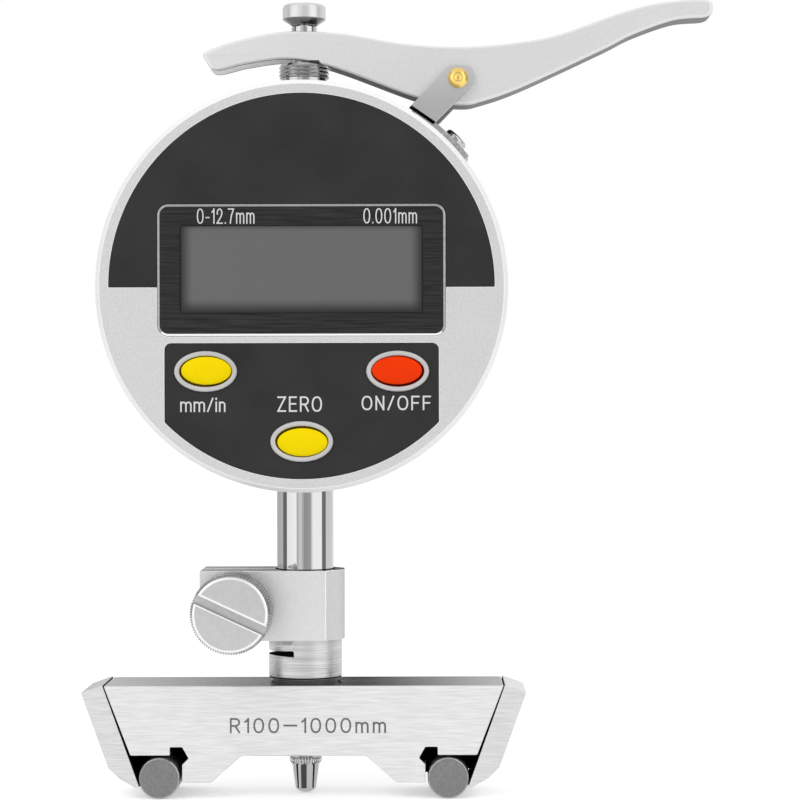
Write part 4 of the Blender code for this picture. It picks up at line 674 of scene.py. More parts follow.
def maths(tree, kind, first, second):
    """What a step of arithmetic on two values gives. A value is a socket or a number."""
    made = tree.nodes.new("ShaderNodeMath")
    made.operation = kind
    for value, target in zip((first, second), made.inputs):
        if isinstance(value, bpy.types.NodeSocket):
            tree.links.new(value, target)
        else:
            target.default_value = value
    return made.outputs[0]


class Finish:
    """A Principled material whose colour, roughness and relief come from noise over the piece."""

    def __init__(self, name, colour, metallic=0.0, roughness=0.5, specular=USUAL_SHINE):
        self.material = bpy.data.materials.new(name)
        self.material.use_nodes = True
        self.tree = self.material.node_tree
        self.shader = self.tree.nodes["Principled BSDF"]
        fill(self.shader, Base_Color=linear(colour), Metallic=metallic)
        fill(self.shader, Roughness=roughness, Specular_IOR_Level=specular)
        self.material.diffuse_color = linear(colour)

    def node(self, kind, **values):
        return fill(self.tree.nodes.new(kind), **values)

    def link(self, source, target):
        self.tree.links.new(source, target)

    def places(self):
        """The piece's own X, Y and Z over its surface."""
        parts = self.node("ShaderNodeSeparateXYZ")
        self.link(self.node("ShaderNodeTexCoord").outputs["Object"], parts.inputs["Vector"])
        return parts.outputs

    def noise(self, stretch, detail, turn=NO_TURN):
        """Noise over the piece, with this many cells per metre along each axis."""
        place = self.node("ShaderNodeTexCoord")
        mapping = self.node("ShaderNodeMapping", Scale=stretch, Rotation=turn)
        made = self.node("ShaderNodeTexNoise", Scale=1.0, Detail=detail)
        self.link(place.outputs["Object"], mapping.inputs["Vector"])
        self.link(mapping.outputs["Vector"], made.inputs["Vector"])
        return made.outputs["Fac"]

    def tint(self, value, dark, light, floor=NOISE_LOW, ceiling=NOISE_HIGH):
        """Colours the surface between two colours by the value."""
        ramp = self.tree.nodes.new("ShaderNodeValToRGB")
        for stop, spot, colour in zip(ramp.color_ramp.elements, (floor, ceiling), (dark, light)):
            stop.position = spot
            stop.color = linear(colour)
        self.link(value, ramp.inputs["Fac"])
        self.link(ramp.outputs["Color"], self.shader.inputs["Base Color"])

    def gloss(self, value, rough, shares):
        """Spreads the roughness between two shares of it by the value."""
        low, high = (rough * share for share in shares)
        made = self.node("ShaderNodeMapRange", From_Min=NOISE_LOW, From_Max=NOISE_HIGH)
        fill(made, To_Min=low, To_Max=high)
        self.link(value, made.inputs["Value"])
        self.link(made.outputs["Result"], self.shader.inputs["Roughness"])

    def relief(self, value, strength, depth):
        """Raises the surface by the value, and gives the finished material."""
        bump = self.node("ShaderNodeBump", Strength=strength, Distance=depth)
        self.link(value, bump.inputs["Height"])
        self.link(bump.outputs["Normal"], self.shader.inputs["Normal"])
        return self.material


def brushed(name, dark, light, metallic, rough, stretch, strength, turn=NO_TURN, specular=USUAL_SHINE):
    """Metal with fine streaks, and a slow change of gloss over them."""
    finish = Finish(name, light, metallic, specular=specular)
    streak = finish.noise(stretch, STREAK_DETAIL, turn)
    finish.tint(streak, dark, light)
    slow = finish.noise(tuple(s / STREAK_CLOUDS for s in stretch), GRAIN_DETAIL, turn)
    finish.gloss(slow, rough, BRUSHED_GLOSS)
    return finish.relief(streak, strength, FINE_RELIEF)


def cast_metal(name, dark, light, metallic, rough, grain, strength, specular=USUAL_SHINE):
    """Metal or paint with a fine even grain and faint clouds."""
    finish = Finish(name, light, metallic, specular=specular)
    fine = finish.noise((grain,) * 3, GRAIN_DETAIL)
    finish.tint(fine, dark, light)
    finish.gloss(finish.noise((grain / CAST_CLOUDS,) * 3, GRAIN_DETAIL), rough, CAST_GLOSS)
    return finish.relief(fine, strength, COARSE_RELIEF)


def polished(name, colour, rough, metallic=1.0):
    """Bright ground metal with barely visible turning marks."""
    finish = Finish(name, colour, metallic, rough)
    marks = finish.noise(TURNING_MARKS, GRAIN_DETAIL)
    finish.gloss(marks, rough, POLISHED_GLOSS)
    return finish.relief(marks, TURNING_STRENGTH, TURNING_RELIEF)


def plastic(name, dark, light, rough, specular=USUAL_SHINE):
    """Moulded or printed plastic with a faint skin."""
    finish = Finish(name, light, 0.0, rough, specular)
    fine = finish.noise((PLASTIC_GRAIN,) * 3, GRAIN_DETAIL)
    finish.tint(finish.noise((PLASTIC_GRAIN / PLASTIC_CLOUDS,) * 3, CLOUD_DETAIL), dark, light)
    finish.gloss(fine, rough, PLASTIC_GLOSS)
    return finish.relief(fine, PLASTIC_STRENGTH, FINE_RELIEF)


def shaded_glass(name, colour, rough, specular):
    """Blank display glass: grey, and darker near its edges, more thinly along the top: painted shade of the
    bezel's recess.
    """
    finish = Finish(name, colour, 0.0, rough, specular)
    places = finish.places()
    shares = []
    spans = (
        ("X", AXIS.x, (SCREEN_WIDE + SCREEN_SHADE) / 2 - SCREEN_SHADE_SIDE),
        ("Z", SCREEN_Z + SCREEN_SHADE_LIFT, SCREEN_HIGH / 2 + SCREEN_SHADE_LIFT),
    )
    for key, centre, half in spans:
        offset = maths(finish.tree, "SUBTRACT", places[key], centre)
        inside = maths(finish.tree, "SUBTRACT", maths(finish.tree, "ABSOLUTE", offset, 0.0), half)
        share = finish.node("ShaderNodeMapRange", From_Min=0.0, From_Max=-SCREEN_SHADE)
        share.interpolation_type = "SMOOTHSTEP"
        finish.link(inside, share.inputs["Value"])
        shares.append(share.outputs["Result"])
    finish.tint(maths(finish.tree, "MULTIPLY", *shares), *GLASS_SHADES, 0.0, 1.0)
    return finish.relief(finish.noise((GLASS_GRAIN,) * 3, GRAIN_DETAIL), GLASS_STRENGTH, FINE_RELIEF)


def painted_light_steel(name, colour, metallic, rough):
    """Smooth steel strip that is lighter upwards towards the pivot: painted light."""
    finish = Finish(name, colour, metallic, rough)
    finish.tint(finish.places()["Z"], *BRACKET_PAINTED_LIGHT, PIVOT_Z - EAR_WIDE, PIVOT_Z + EAR_WIDE / 2)
    return finish.material


def solder_mask(name, colour, rough):
    """Green solder mask with paler tracks under it."""
    finish = Finish(name, colour, 0.0, rough)
    tracks = finish.noise(BOARD_TRACKS, 0.0)
    finish.tint(tracks, *BOARD_SHADES, *BOARD_TRACK_EDGES)
    return finish.relief(tracks, BOARD_STRENGTH, COARSE_RELIEF)


# Each look's maker, its name, and what else the maker takes
LOOK_ROWS = (
    (brushed, "bar_steel", "e2e2e2", "f8f8f8", 0.3, 0.4, (300.0, 6000.0, 6000.0), 0.12),
    (brushed, "plate_steel", "d6d6d6", "ececec", 0.3, 0.4, (300.0, 5000.0, 5000.0), 0.1, (0.0, -0.3, 0.0)),
    (brushed, "top_steel", "c8c8c8", "dcdcdc", 1.0, 0.2, (200.0, 5000.0, 5000.0), 0.05),
    # Near-black for pockets, gaps, bores and cuts: painted shade where they lie in shadow
    (cast_metal, "painted_shade_black", "050505", "0b0b0b", 0.0, 0.8, 4000.0, 0.1, 0.1),
    (cast_metal, "roller_steel", "7c7c7c", "8c8c8c", 0.3, 0.4, 3000.0, 0.05),
    # Light grey on the rollers' end chamfers: painted highlight
    (polished, "roller_edge_highlight", "b4b4b4", 0.25),
    (cast_metal, "black_steel", "161616", "242424", 0.6, 0.45, 4000.0, 0.2),
    # A darker copy of clamp_steel for the block's slanted facet: painted shade
    (cast_metal, "facet_shade_steel", "cccccc", "d2d2d2", 0.75, 0.34, 2500.0, 0.02),
    (cast_metal, "clamp_steel", "e0e0e0", "e6e6e6", 0.75, 0.34, 2500.0, 0.02),
    # Near-white on the rounded edges of the clamp block and the lever's bracket: painted highlight
    (polished, "block_edge_highlight", "f4f4f4", 0.2, 0.4),
    (brushed, "sleeve_steel", "aeaeae", "dcdcdc", 0.9, 0.34, (150.0, 150.0, 12000.0), 0.1),
    (cast_metal, "knob_steel", "c6c6c6", "cecece", 0.6, 0.26, 1500.0, 0.02),
    (polished, "knurl_steel", "bcbcbc", 0.25),
    # Near-white on the ring round the knob's face and the display frame's lower edge: painted highlight
    (polished, "edge_highlight_steel", "fafafa", 0.2, 0.4),
    (polished, "polished_steel", "bcbcbc", 0.04),
    (polished, "thread_steel", "b4b4b4", 0.12),
    (polished, "cap_throat", "8c8c8c", 0.2),
    (polished, "spring_steel", "a8a8aa", 0.25),
    (cast_metal, "silver_paint", "cfcfcf", "e4e4e4", 0.2, 0.4, 6000.0, 0.16),
    # A lighter copy of silver_paint for the case's chamfers and rounded edges: painted highlight
    (cast_metal, "silver_edge_highlight", "fafafa", "ffffff", 0.1, 0.3, 6000.0, 0.05),
    (plastic, "rim_plastic", "c2c2c2", "d0d0d0", 0.3),
    (plastic, "dark_panel", "262626", "303030", 0.6, 0.25),
    (brushed, "black_frame", "161616", "363636", 0.0, 0.45, (160.0, 160.0, 5200.0), 0.12, NO_TURN, 0.2),
    (cast_metal, "frame_edge", "9c9c9c", "b4b4b4", 0.5, 0.35, 3000.0, 0.1),
    (shaded_glass, "display_glass", "707070", 0.25, 0.3),
    (plastic, "yellow_key", "fcdc00", "ffe400", 0.4, 0.06),
    (plastic, "red_key", "f43200", "fc4000", 0.34, 0.08),
    (plastic, "letter_paint", "d8d8d8", "e4e4e4", 0.5, 0.3),
    (plastic, "engraving", "6a6a6a", "787878", 0.6, 0.2),
    (solder_mask, "circuit_board", "1a5a35", 0.35),
    (cast_metal, "aluminium", "d2d2d2", "dedede", 0.45, 0.34, 5000.0, 0.04),
    (cast_metal, "cast_lever", "e6e6e6", "ebebeb", 0.35, 0.3, 2500.0, 0.015),
    # Dark grey for the lever's underside: painted shade
    (cast_metal, "lever_underside_shade", "424242", "525252", 0.4, 0.42, 3000.0, 0.08),
    # Bracket steel that is lighter upwards towards the pivot: painted light
    (painted_light_steel, "bracket_steel_painted_light", "c6c6c6", 0.7, 0.28),
    # Dark grey for the spigot under the sleeve: painted shade in the gap above the bar
    (cast_metal, "spigot_shade_steel", "505050", "606060", 0.6, 0.5, 3000.0, 0.1),
    (cast_metal, "strap_steel", "a2a2a2", "c8c8c8", 0.6, 0.4, 2600.0, 0.12),
    (polished, "brass", "f2cf78", 0.28),
)
LOOKS = {name: make(name, *values) for make, name, *values in LOOK_ROWS}

# Shares of a face's normal along an axis, by which faces are told apart
LEVEL_SHARE = 0.95
FLAT_SHARE = 0.97
FRONT_SHARE = math.cos(1.0 * DEG)
SQUARE_SHARE = 0.9
SHALLOW_SHARE = 0.75
HALF_SHARE = 0.5
SLANT_SHARE = 0.3
RIM_SHARE = 0.2


def is_level(face):
    """Whether a face looks straight up."""
    return face.normal.z > LEVEL_SHARE


def is_rim(face):
    """Whether a face looks neither forward nor back."""
    return abs(face.normal.y) < RIM_SHARE


def is_shallow(face):
    """Whether a face looks nearly forward or back, as the ring round the knob's face does."""
    return SHALLOW_SHARE < abs(face.normal.y) < FLAT_SHARE


def is_sloping(face):
    """Whether a face is neither along nor across the depth: a chamfer or the side of a lip."""
    return RIM_SHARE < abs(face.normal.y) < FLAT_SHARE


# The base


def plate_point(down, out):
    """A point of the right-hand side plate, from its inner top corner."""
    corner_x = (PLATE_DISTANCE + PLATE_TOP * math.sin(PLATE_TILT)) / math.cos(PLATE_TILT)
    return Vector((corner_x, PLATE_TOP)) + PLATE_DOWN * down + PLATE_NORMAL * out


def plate_inward(side):
    """The direction from a side plate into the bar."""
    return Vector((-side * PLATE_NORMAL.x, 0.0, -PLATE_NORMAL.y))


def plate_screw_place(side):
    """A turned piece's axis into the bar through a side plate's screw hole."""
    spot = plate_point(PLATE_SCREW_DROP, 0.0)
    turn = Vector((0, 0, 1)).rotation_difference(plate_inward(side)).to_matrix().to_4x4()
    return Matrix.Translation((side * spot.x, 0.0, spot.y)) @ turn


def bar_half():
    """The right half of the bar's outline, from the middle of the arch to the top corner."""
    foot_end = POCKET_WALL - FOOT_LENGTH
    gap_across = FIT_GAP / math.cos(PLATE_TILT)
    top_x = plate_point(0.0, 0.0).x - (PLATE_TOP - BAR_TOP) * math.tan(PLATE_TILT) - gap_across
    pocket_x = top_x - (BAR_TOP - POCKET_CEILING) * math.tan(BAR_SIDE_TILT)
    return [
        (ARCH_HALF_LENGTH, ARCH_CEILING), (foot_end, FOOT_HEIGHT), (POCKET_WALL, FOOT_HEIGHT),
        (POCKET_WALL, POCKET_CEILING - RELIEF_DROP),
        (POCKET_WALL - RELIEF_DEPTH, POCKET_CEILING - RELIEF_DROP + RELIEF_DEPTH),
        (POCKET_WALL, POCKET_CEILING + RELIEF_RISE),
        (POCKET_WALL + RELIEF_LENGTH, POCKET_CEILING + RELIEF_RISE),
        (POCKET_WALL + RELIEF_LENGTH, POCKET_CEILING), (pocket_x, POCKET_CEILING), (top_x, BAR_TOP),
    ]


def base_bar():
    """Ground bar with two roller pockets, corner reliefs and an arch."""
    right = bar_half()
    left = [(-x, z) for x, z in reversed(right)]
    bar = slab("bar", right + left, -BAR_HALF_DEPTH, BAR_HALF_DEPTH)
    pocket_x = POCKET_WALL - RELIEF_DEPTH - EDGE

    # Faces inside the roller pockets are painted near-black: painted shade.
    def inside(face):
        across = abs(face.normal.y) < HALF_SHARE
        return across and abs(face.center.x) > pocket_x and face.center.z < BAR_TOP - EDGE

    wear(bar, "bar_steel")
    tone(bar, "painted_shade_black", inside)
    tone(bar, "top_steel", is_level)
    soften(bar, BAR_CHAMFER, look=0)
    socket_floor = BAR_TOP - SPIGOT_DEPTH - FIT_GAP
    socket_radius = SPIGOT_RADIUS + FIT_GAP
    cutters = [
        round_bar(socket_radius, socket_floor, BAR_TOP + OVERRUN, sides=LARGE_FACETS),
        round_bar(PASSAGE_RADIUS, ARCH_CEILING - OVERRUN, BAR_TOP),
    ]
    thread_end = PLATE_SCREW_LENGTH - PLATE_THICK + FIT_GAP
    for side in SIDES.values():
        place = plate_screw_place(side)
        radius = PLATE_SCREW_SHANK + FIT_GAP
        cutters.append(round_bar(radius, -OVERRUN, thread_end, place, SMALL_FACETS))
    return cut(bar, *cutters)


def side_plate(side_name, side):
    """Sloping slab whose toe holds a roller in its pocket, with a counterbored screw hole."""
    heel = PLATE_LENGTH - PLATE_TOE_LENGTH
    mid_down = heel + PLATE_TOE_LENGTH / 2
    mid_out = (PLATE_THICK + PLATE_TOE_THICK) / 2 + PLATE_TOE_BELLY
    corners = [
        plate_point(0.0, -PLATE_GROW),
        plate_point(0.0, PLATE_THICK),
        plate_point(heel, PLATE_THICK),
        plate_point(mid_down, mid_out),
        plate_point(PLATE_LENGTH, PLATE_TOE_THICK),
        plate_point(PLATE_LENGTH, -PLATE_GROW),
    ]
    outline = [(side * corner.x, corner.y) for corner in corners]
    plate = slab("plate_" + side_name, outline, -BAR_HALF_DEPTH, BAR_HALF_DEPTH)
    inward = plate_inward(side)
    wear(plate, "plate_steel")
    # The plate's inner face, towards the pocket, is painted near-black: painted shade.
    tone(plate, "painted_shade_black", lambda face: face.normal.dot(inward) > SQUARE_SHARE)
    tone(plate, "top_steel", lambda face: face.normal.z > SQUARE_SHARE)
    soften(plate, PLATE_CHAMFER, look=0)
    place = plate_screw_place(side)
    outside = -PLATE_THICK - OVERRUN
    hole = round_bar(PLATE_SCREW_SHANK + FIT_GAP, outside, OVERRUN, place, SMALL_FACETS)
    seat_floor = PLATE_SCREW_HEAD_THICK - PLATE_THICK + FIT_GAP
    seat = round_bar(PLATE_SCREW_HEAD + FIT_GAP, outside, seat_floor, place)
    cut(plate, hole, seat)
    return soften(plate, EDGE)


def pocket_shade_sheet(side_name, side):
    """Thin black sheet round the middle of a roller, between the bar's pocket and the side plate: painted
    shade in the pocket's gap.
    """
    outer = POCKET_WALL + RELIEF_LENGTH
    toe = plate_point(PLATE_LENGTH - PLATE_TOE_LENGTH / 2, -PLATE_GROW / 2)
    heel_x = plate_point(PLATE_TOP - POCKET_CEILING, 0.0).x
    start = math.atan2(toe.y - ROLLER_RADIUS, toe.x - ROLLER_X)
    corners = [
        (POCKET_WALL - SEAM, POCKET_CEILING - RELIEF_DROP),
        (POCKET_WALL - RELIEF_DEPTH, POCKET_CEILING - RELIEF_DROP + RELIEF_DEPTH),
        (POCKET_WALL - SEAM, POCKET_CEILING + RELIEF_RISE + SEAM),
        (outer, POCKET_CEILING + RELIEF_RISE + SEAM), (outer, POCKET_CEILING + SEAM),
        (heel_x, POCKET_CEILING + SEAM), (toe.x, toe.y),
    ]
    corners += arc(ROLLER_RADIUS, start, math.pi, ROUND_FACETS, ROLLER_X, ROLLER_RADIUS)
    corners.append((POCKET_WALL - SEAM, ROLLER_RADIUS))
    return slab("shade_sheet_" + side_name, [(side * x, z) for x, z in corners], -FIT_GAP, FIT_GAP)


def plate_screw(side_name, side):
    """Socket screw that draws a side plate towards the bar."""
    head_face = -PLATE_THICK
    under_head = head_face + PLATE_SCREW_HEAD_THICK
    profile = (
        (PLATE_SCREW_HEAD, head_face), (PLATE_SCREW_HEAD, under_head), (PLATE_SCREW_SHANK, under_head),
        (PLATE_SCREW_SHANK, head_face + PLATE_SCREW_LENGTH),
    )
    place = plate_screw_place(side)
    screw = turned("plate_bolt_" + side_name, profile, place)
    key_floor = head_face + PLATE_SCREW_KEY_DEPTH
    cut(screw, round_bar(PLATE_SCREW_KEY, head_face - OVERRUN, key_floor, place, HEX_FACETS))
    return soften(screw, EDGE, 2)


def roller(side_name, side):
    """Hardened contact roller with a small chamfer round each end, painted light grey as a highlight."""
    inner = ROLLER_RADIUS - ROLLER_CHAMFER
    end = BAR_HALF_DEPTH
    step = BAR_HALF_DEPTH - ROLLER_CHAMFER
    profile = ((inner, -end), (ROLLER_RADIUS, -step), (ROLLER_RADIUS, step), (inner, end))
    piece = turned("pin_" + side_name, profile, rearward(side * ROLLER_X, ROLLER_RADIUS), LARGE_FACETS)
    wear(piece, "roller_steel")
    # End chamfers in light grey: painted highlight.
    tone(piece, "roller_edge_highlight", is_sloping)
    return soften(piece, EDGE / 2, 2)


# The stem clamp


def block_outline():
    """The clamp block from above, with a nose that narrows round the bore."""
    half = BLOCK_DEPTH / 2
    nose_x = BLOCK_RIGHT - NOSE_LENGTH
    nose_y = half - NOSE_DEPTH
    return [
        (-BLOCK_LEFT, -half), (nose_x, -half), (BLOCK_RIGHT, -nose_y), (BLOCK_RIGHT, nose_y),
        (nose_x, half), (-BLOCK_LEFT, half),
    ]


def clamp_cutters(low, high):
    """The bore, the passage and the jaws' slit, between these heights."""
    saw_length = BLOCK_LEFT + OVERRUN
    slit = box_outline(saw_length, JAW_SLIT, -saw_length / 2)
    return [
        round_bar(STEM_HOLE, SHOULDER_Z, high, sides=LARGE_FACETS),
        round_bar(PASSAGE_RADIUS, low, BLOCK_BASE),
        slab("slit", slit, SAW_CUT_Z, high, UPRIGHT),
    ]


def clamp_block():
    """Slit block with its bore and the thumb screw's hole."""
    block = slab("clamp_block", block_outline(), BLOCK_BASE, BLOCK_TOP, UPRIGHT)
    place = rearward(-KNOB_OFFSET, KNOB_Z)
    hole = round_bar(KNOB_SHANK + FIT_GAP, -BLOCK_DEPTH, BLOCK_DEPTH, place)
    cut(block, *clamp_cutters(BLOCK_BASE - OVERRUN, BLOCK_TOP + OVERRUN), hole)
    # The rounded edges wear a near-white: painted highlight.
    wear(block, "clamp_steel", "block_edge_highlight")
    tone(block, "top_steel", is_level)
    # The slanted facet wears a darker copy of the block's steel: painted shade.
    tone(block, "facet_shade_steel", lambda face: min(face.normal.x, -face.normal.y) > SLANT_SHARE)
    return soften(block, BLOCK_CHAMFER, look=1)


def stem_foot_shade_ring():
    """Thin black ring round the stem where it enters the block: painted shade at the stem's foot."""
    outer = STEM_HOLE + SHADE_RING_WALL
    top = BLOCK_TOP + SHADE_RING_RISE
    profile = ((STEM_HOLE, BLOCK_TOP), (outer, BLOCK_TOP), (outer, top), (STEM_HOLE, top))
    return turned("stem_foot_shade_ring", profile, sides=LARGE_FACETS, ring=True)


def clamp_sleeve():
    """Spigot and turned sleeve, with the saw cut that opens under the jaws."""
    spigot_foot = BAR_TOP - SPIGOT_DEPTH
    lip = SLEEVE_BASE - SLEEVE_LIP
    profile = (
        (SPIGOT_RADIUS, spigot_foot), (SPIGOT_RADIUS, lip), (SLEEVE_RADIUS - EDGE, lip),
        (SLEEVE_RADIUS - EDGE, SLEEVE_BASE), (SLEEVE_RADIUS, SLEEVE_BASE), (SLEEVE_RADIUS, BLOCK_BASE),
    )
    sleeve = turned("clamp_sleeve", profile, sides=LARGE_FACETS)
    saw_mouth = -BLOCK_LEFT
    half_cut = SAW_CUT / 2
    saw = [
        (-SAW_CUT_END, SAW_CUT_Z - half_cut), (-SAW_CUT_END, SAW_CUT_Z + half_cut / 2),
        (-SAW_CUT_END - half_cut / 2, SAW_CUT_Z + half_cut),
        (-SLEEVE_RADIUS, SAW_CUT_Z + SAW_CUT_MOUTH), (saw_mouth, SAW_CUT_Z + SAW_CUT_MOUTH),
        (saw_mouth, SAW_CUT_Z - SAW_CUT_MOUTH), (-SLEEVE_RADIUS, SAW_CUT_Z - SAW_CUT_MOUTH),
    ]
    cutters = clamp_cutters(spigot_foot - OVERRUN, BLOCK_BASE + OVERRUN)
    wear(sleeve, "sleeve_steel")
    # The groove under the sleeve is painted near-black and the spigot below it dark grey: painted shade in
    # the gap above the bar.
    tone(sleeve, "painted_shade_black", lambda face: face.center.z < SLEEVE_BASE + EDGE / 2)
    tone(sleeve, "spigot_shade_steel", lambda face: face.center.z < lip - EDGE / 2)
    cutters.append(slab("saw", saw, -BLOCK_DEPTH, BLOCK_DEPTH))
    # The faces cut by the bore, passage, slit and saw are painted near-black: painted shade inside them.
    for cutter in cutters:
        wear(cutter, "painted_shade_black")
    cut(sleeve, *cutters)
    return soften(sleeve, EDGE / 2, 2, look=0)


def saw_cut_shade_ring():
    """Thin black ring round the bore behind the saw cut, so that no light shows through it: painted shade
    in the cut.
    """
    low = SAW_CUT_Z - SAW_CUT / 2
    high = SAW_CUT_Z + SAW_CUT / 2
    inner = STEM_HOLE + SEAM
    outer = inner + SHADE_RING_WALL
    profile = ((inner, low), (outer, low), (outer, high), (inner, high))
    return turned("saw_cut_shade_ring", profile, sides=LARGE_FACETS, ring=True)


def thumb_screw():
    """Thumb screw with a knurled rim between polished chamfers, a painted highlight on the ring round its
    face, and a coin slot across its face.
    """
    face = KNOB_RADIUS - KNOB_CHAMFER
    root = KNOB_RADIUS - KNURL_DEPTH
    profile = (
        (face - KNOB_RING, KNOB_FRONT, None), (face, KNOB_FRONT + KNOB_RING / 2, None),
        (root, KNOB_FRONT + KNOB_CHAMFER - KNURL_DEPTH / 2, None),
        (KNOB_RADIUS, KNOB_FRONT + KNOB_CHAMFER + KNURL_DEPTH / 2, root),
        (KNOB_RADIUS, KNOB_BACK - KNOB_CHAMFER - KNURL_DEPTH / 2, root),
        (root, KNOB_BACK - KNOB_CHAMFER + KNURL_DEPTH / 2, None), (face, KNOB_BACK, None),
    )
    sides = KNURL_TEETH * TOOTH_SPOTS
    rows = [circle_row(radius, height, sides, gap) for radius, height, gap in profile]
    place = rearward(-KNOB_OFFSET, KNOB_Z)
    knob = lofted("thumb_screw", rows, place)
    shank = (
        (KNOB_NECK, KNOB_BACK - KNOB_CHAMFER), (KNOB_NECK, KNOB_BACK + KNOB_NECK_LENGTH),
        (KNOB_SHANK, KNOB_BACK + KNOB_NECK_LENGTH), (KNOB_SHANK, KNOB_SHANK_REACH),
    )
    join(knob, turned("shank", shank, place))
    half = KNOB_SLOT_WIDE / 2
    lip_top = KNOB_FRONT + KNOB_LIP_DEEP
    slot = [
        (-half, KNOB_FRONT + KNOB_SLOT_DEEP), (half, KNOB_FRONT + KNOB_SLOT_DEEP), (half, lip_top),
        (half + KNOB_UPPER_LIP, KNOB_FRONT), (half + KNOB_UPPER_LIP, KNOB_FRONT - OVERRUN),
        (-half - KNOB_LOWER_LIP, KNOB_FRONT - OVERRUN), (-half - KNOB_LOWER_LIP, KNOB_FRONT),
        (-half, lip_top),
    ]
    centre = Matrix.Translation((-KNOB_OFFSET, 0.0, KNOB_Z))
    lie = Matrix(((0, 0, 1, 0), (0, 1, 0, 0), (1, 0, 0, 0), (0, 0, 0, 1)))
    slot_place = centre @ Matrix.Rotation(-KNOB_SLOT_TILT, 4, "Y") @ lie
    reach = KNOB_RADIUS + OVERRUN
    cut(knob, slab("slot", slot, -reach, reach, slot_place))
    wear(knob, "knob_steel")
    tone(knob, "knurl_steel", is_sloping)
    tone(knob, "knurl_steel", is_rim)
    # The ring round the face is near-white: painted highlight.
    return tone(knob, "edge_highlight_steel", is_shallow)


def stem_tube():
    """Ground stem that the clamp grips, open right through."""
    profile = (
        (STEM_BORE, STEM_FOOT), (STEM_RADIUS - STEM_CHAMFER, STEM_FOOT),
        (STEM_RADIUS, STEM_FOOT + STEM_CHAMFER), (STEM_RADIUS, STEM_TOP), (STEM_BORE, STEM_TOP),
    )
    return turned("stem", profile, sides=LARGE_FACETS, ring=True)


# The indicator's case


def post_places():
    """The centres of the case's four screw posts, as x and z."""
    corners = ((1, 1), (-1, 1), (-1, -1), (1, -1))
    return [(across * POST_X, CASE_CENTRE + up * POST_RISE) for across, up in corners]


def panel_outline(radius, margin):
    """The half-moon above the case's centre line."""
    edge = math.asin(margin / radius)
    return arc(radius, edge, math.pi - edge, LARGE_FACETS, 0.0, CASE_CENTRE)


def window_outline(grow):
    wide = WINDOW_WIDE + 2 * grow
    high = WINDOW_HIGH + 2 * grow
    return rounded_box(wide, high, WINDOW_CORNER + grow, 0.0, WINDOW_Z)


def keypad_outline(grow):
    """The keypad's edge: a flat top with round corners, straight sides and a curved bottom."""
    radius = PANEL_RADIUS + grow
    half = KEYPAD_HALF_WIDE + grow
    top = CASE_CENTRE - KEYPAD_DROP + grow
    swing = math.acos(half / radius)
    bottom = arc(radius, math.pi + swing, 2 * math.pi - swing, ROUND_FACETS, 0.0, CASE_CENTRE)
    corner_x = half - KEYPAD_CORNER
    corner_z = top - KEYPAD_CORNER
    right = arc(KEYPAD_CORNER, 0.0, QUARTER_TURN, CORNER_STEPS, corner_x, corner_z)
    left = arc(KEYPAD_CORNER, QUARTER_TURN, math.pi, CORNER_STEPS, -corner_x, corner_z)
    return bottom + right + left


def case_shell():
    """Cup-shaped case with pockets for its panels, holes for the keys and posts for the cover."""
    profile = (
        (CASE_RADIUS - CASE_FRONT_CHAMFER, CASE_FRONT), (CASE_RADIUS, CASE_FRONT + CASE_FRONT_CHAMFER),
        (CASE_RADIUS, CASE_BACK - CASE_BACK_CHAMFER), (CASE_RADIUS - CASE_BACK_CHAMFER, CASE_BACK),
        (CASE_INNER, CASE_BACK), (CASE_INNER, CASE_FLOOR),
    )
    case = turned("case_shell", profile, rearward(0.0, CASE_CENTRE), CASE_FACETS)
    wear(case, "silver_paint")
    # The chamfers and the rounded edges wear a lighter copy of the paint: painted highlight.
    tone(case, "silver_edge_highlight", is_sloping)
    floor = CASE_FRONT + PANEL_POCKET
    over = CASE_FRONT - OVERRUN
    cut(
        case,
        slab("panel", panel_outline(PANEL_RADIUS + SEAM, -PANEL_DROP - SEAM), over, floor),
        slab("keypad", keypad_outline(SEAM), over, floor),
    )
    cut(case, slab("window", window_outline(SEAM), over, CASE_FRONT + WINDOW_POCKET))
    soften(case, EDGE, 2, look=1)
    screen = box_outline(SCREEN_WIDE + 2 * FIT_GAP, SCREEN_HIGH + 2 * FIT_GAP, 0.0, SCREEN_Z)
    cut(case, slab("screen", screen, over, CASE_FLOOR + OVERRUN))
    root = (floor + CASE_FLOOR) / 2
    places = [rearward(x, z) for x, z in post_places()]
    join(case, *[round_bar(POST_RADIUS, root, CASE_BACK, place) for place in places])
    thread = (REAR_SCREW_SHANK + FIT_GAP, REAR_FRONT - REAR_SCREW_LENGTH - FIT_GAP, CASE_BACK + OVERRUN)
    holes = key_holes(-RIM_WALL / 2, CASE_FLOOR + OVERRUN)
    holes += [round_bar(*thread, place, SMALL_FACETS) for place in places]
    strap_floor = STRAP_OUTER - STRAP_SCREW_LENGTH - FIT_GAP
    strap_radius = STRAP_SCREW_SHANK + FIT_GAP
    strap_place = radial(STRAP_SCREW_ANGLE)
    below = CASE_CENTRE - CASE_RADIUS - OVERRUN
    holes += [
        round_bar(STEM_HOLE, below, CAVITY_BOTTOM + OVERRUN),
        round_bar(NECK_RADIUS + SEAM, CAVITY_TOP - OVERRUN, CASE_TOP + OVERRUN),
        round_bar(strap_radius, strap_floor, STRAP_OUTER, strap_place, SMALL_FACETS),
    ]
    return cut(case, *holes)


def key_holes(grow, back):
    """Cutters from before the face to this depth, each by so much larger than a key's rim."""
    holes = []
    for x, z in BUTTON_PLACES.values():
        oval = ellipse(RIM_HALF_WIDE + grow, RIM_HALF_HIGH + grow, x, z)
        holes.append(slab("hole", oval, CASE_FRONT - OVERRUN, back))
    return holes


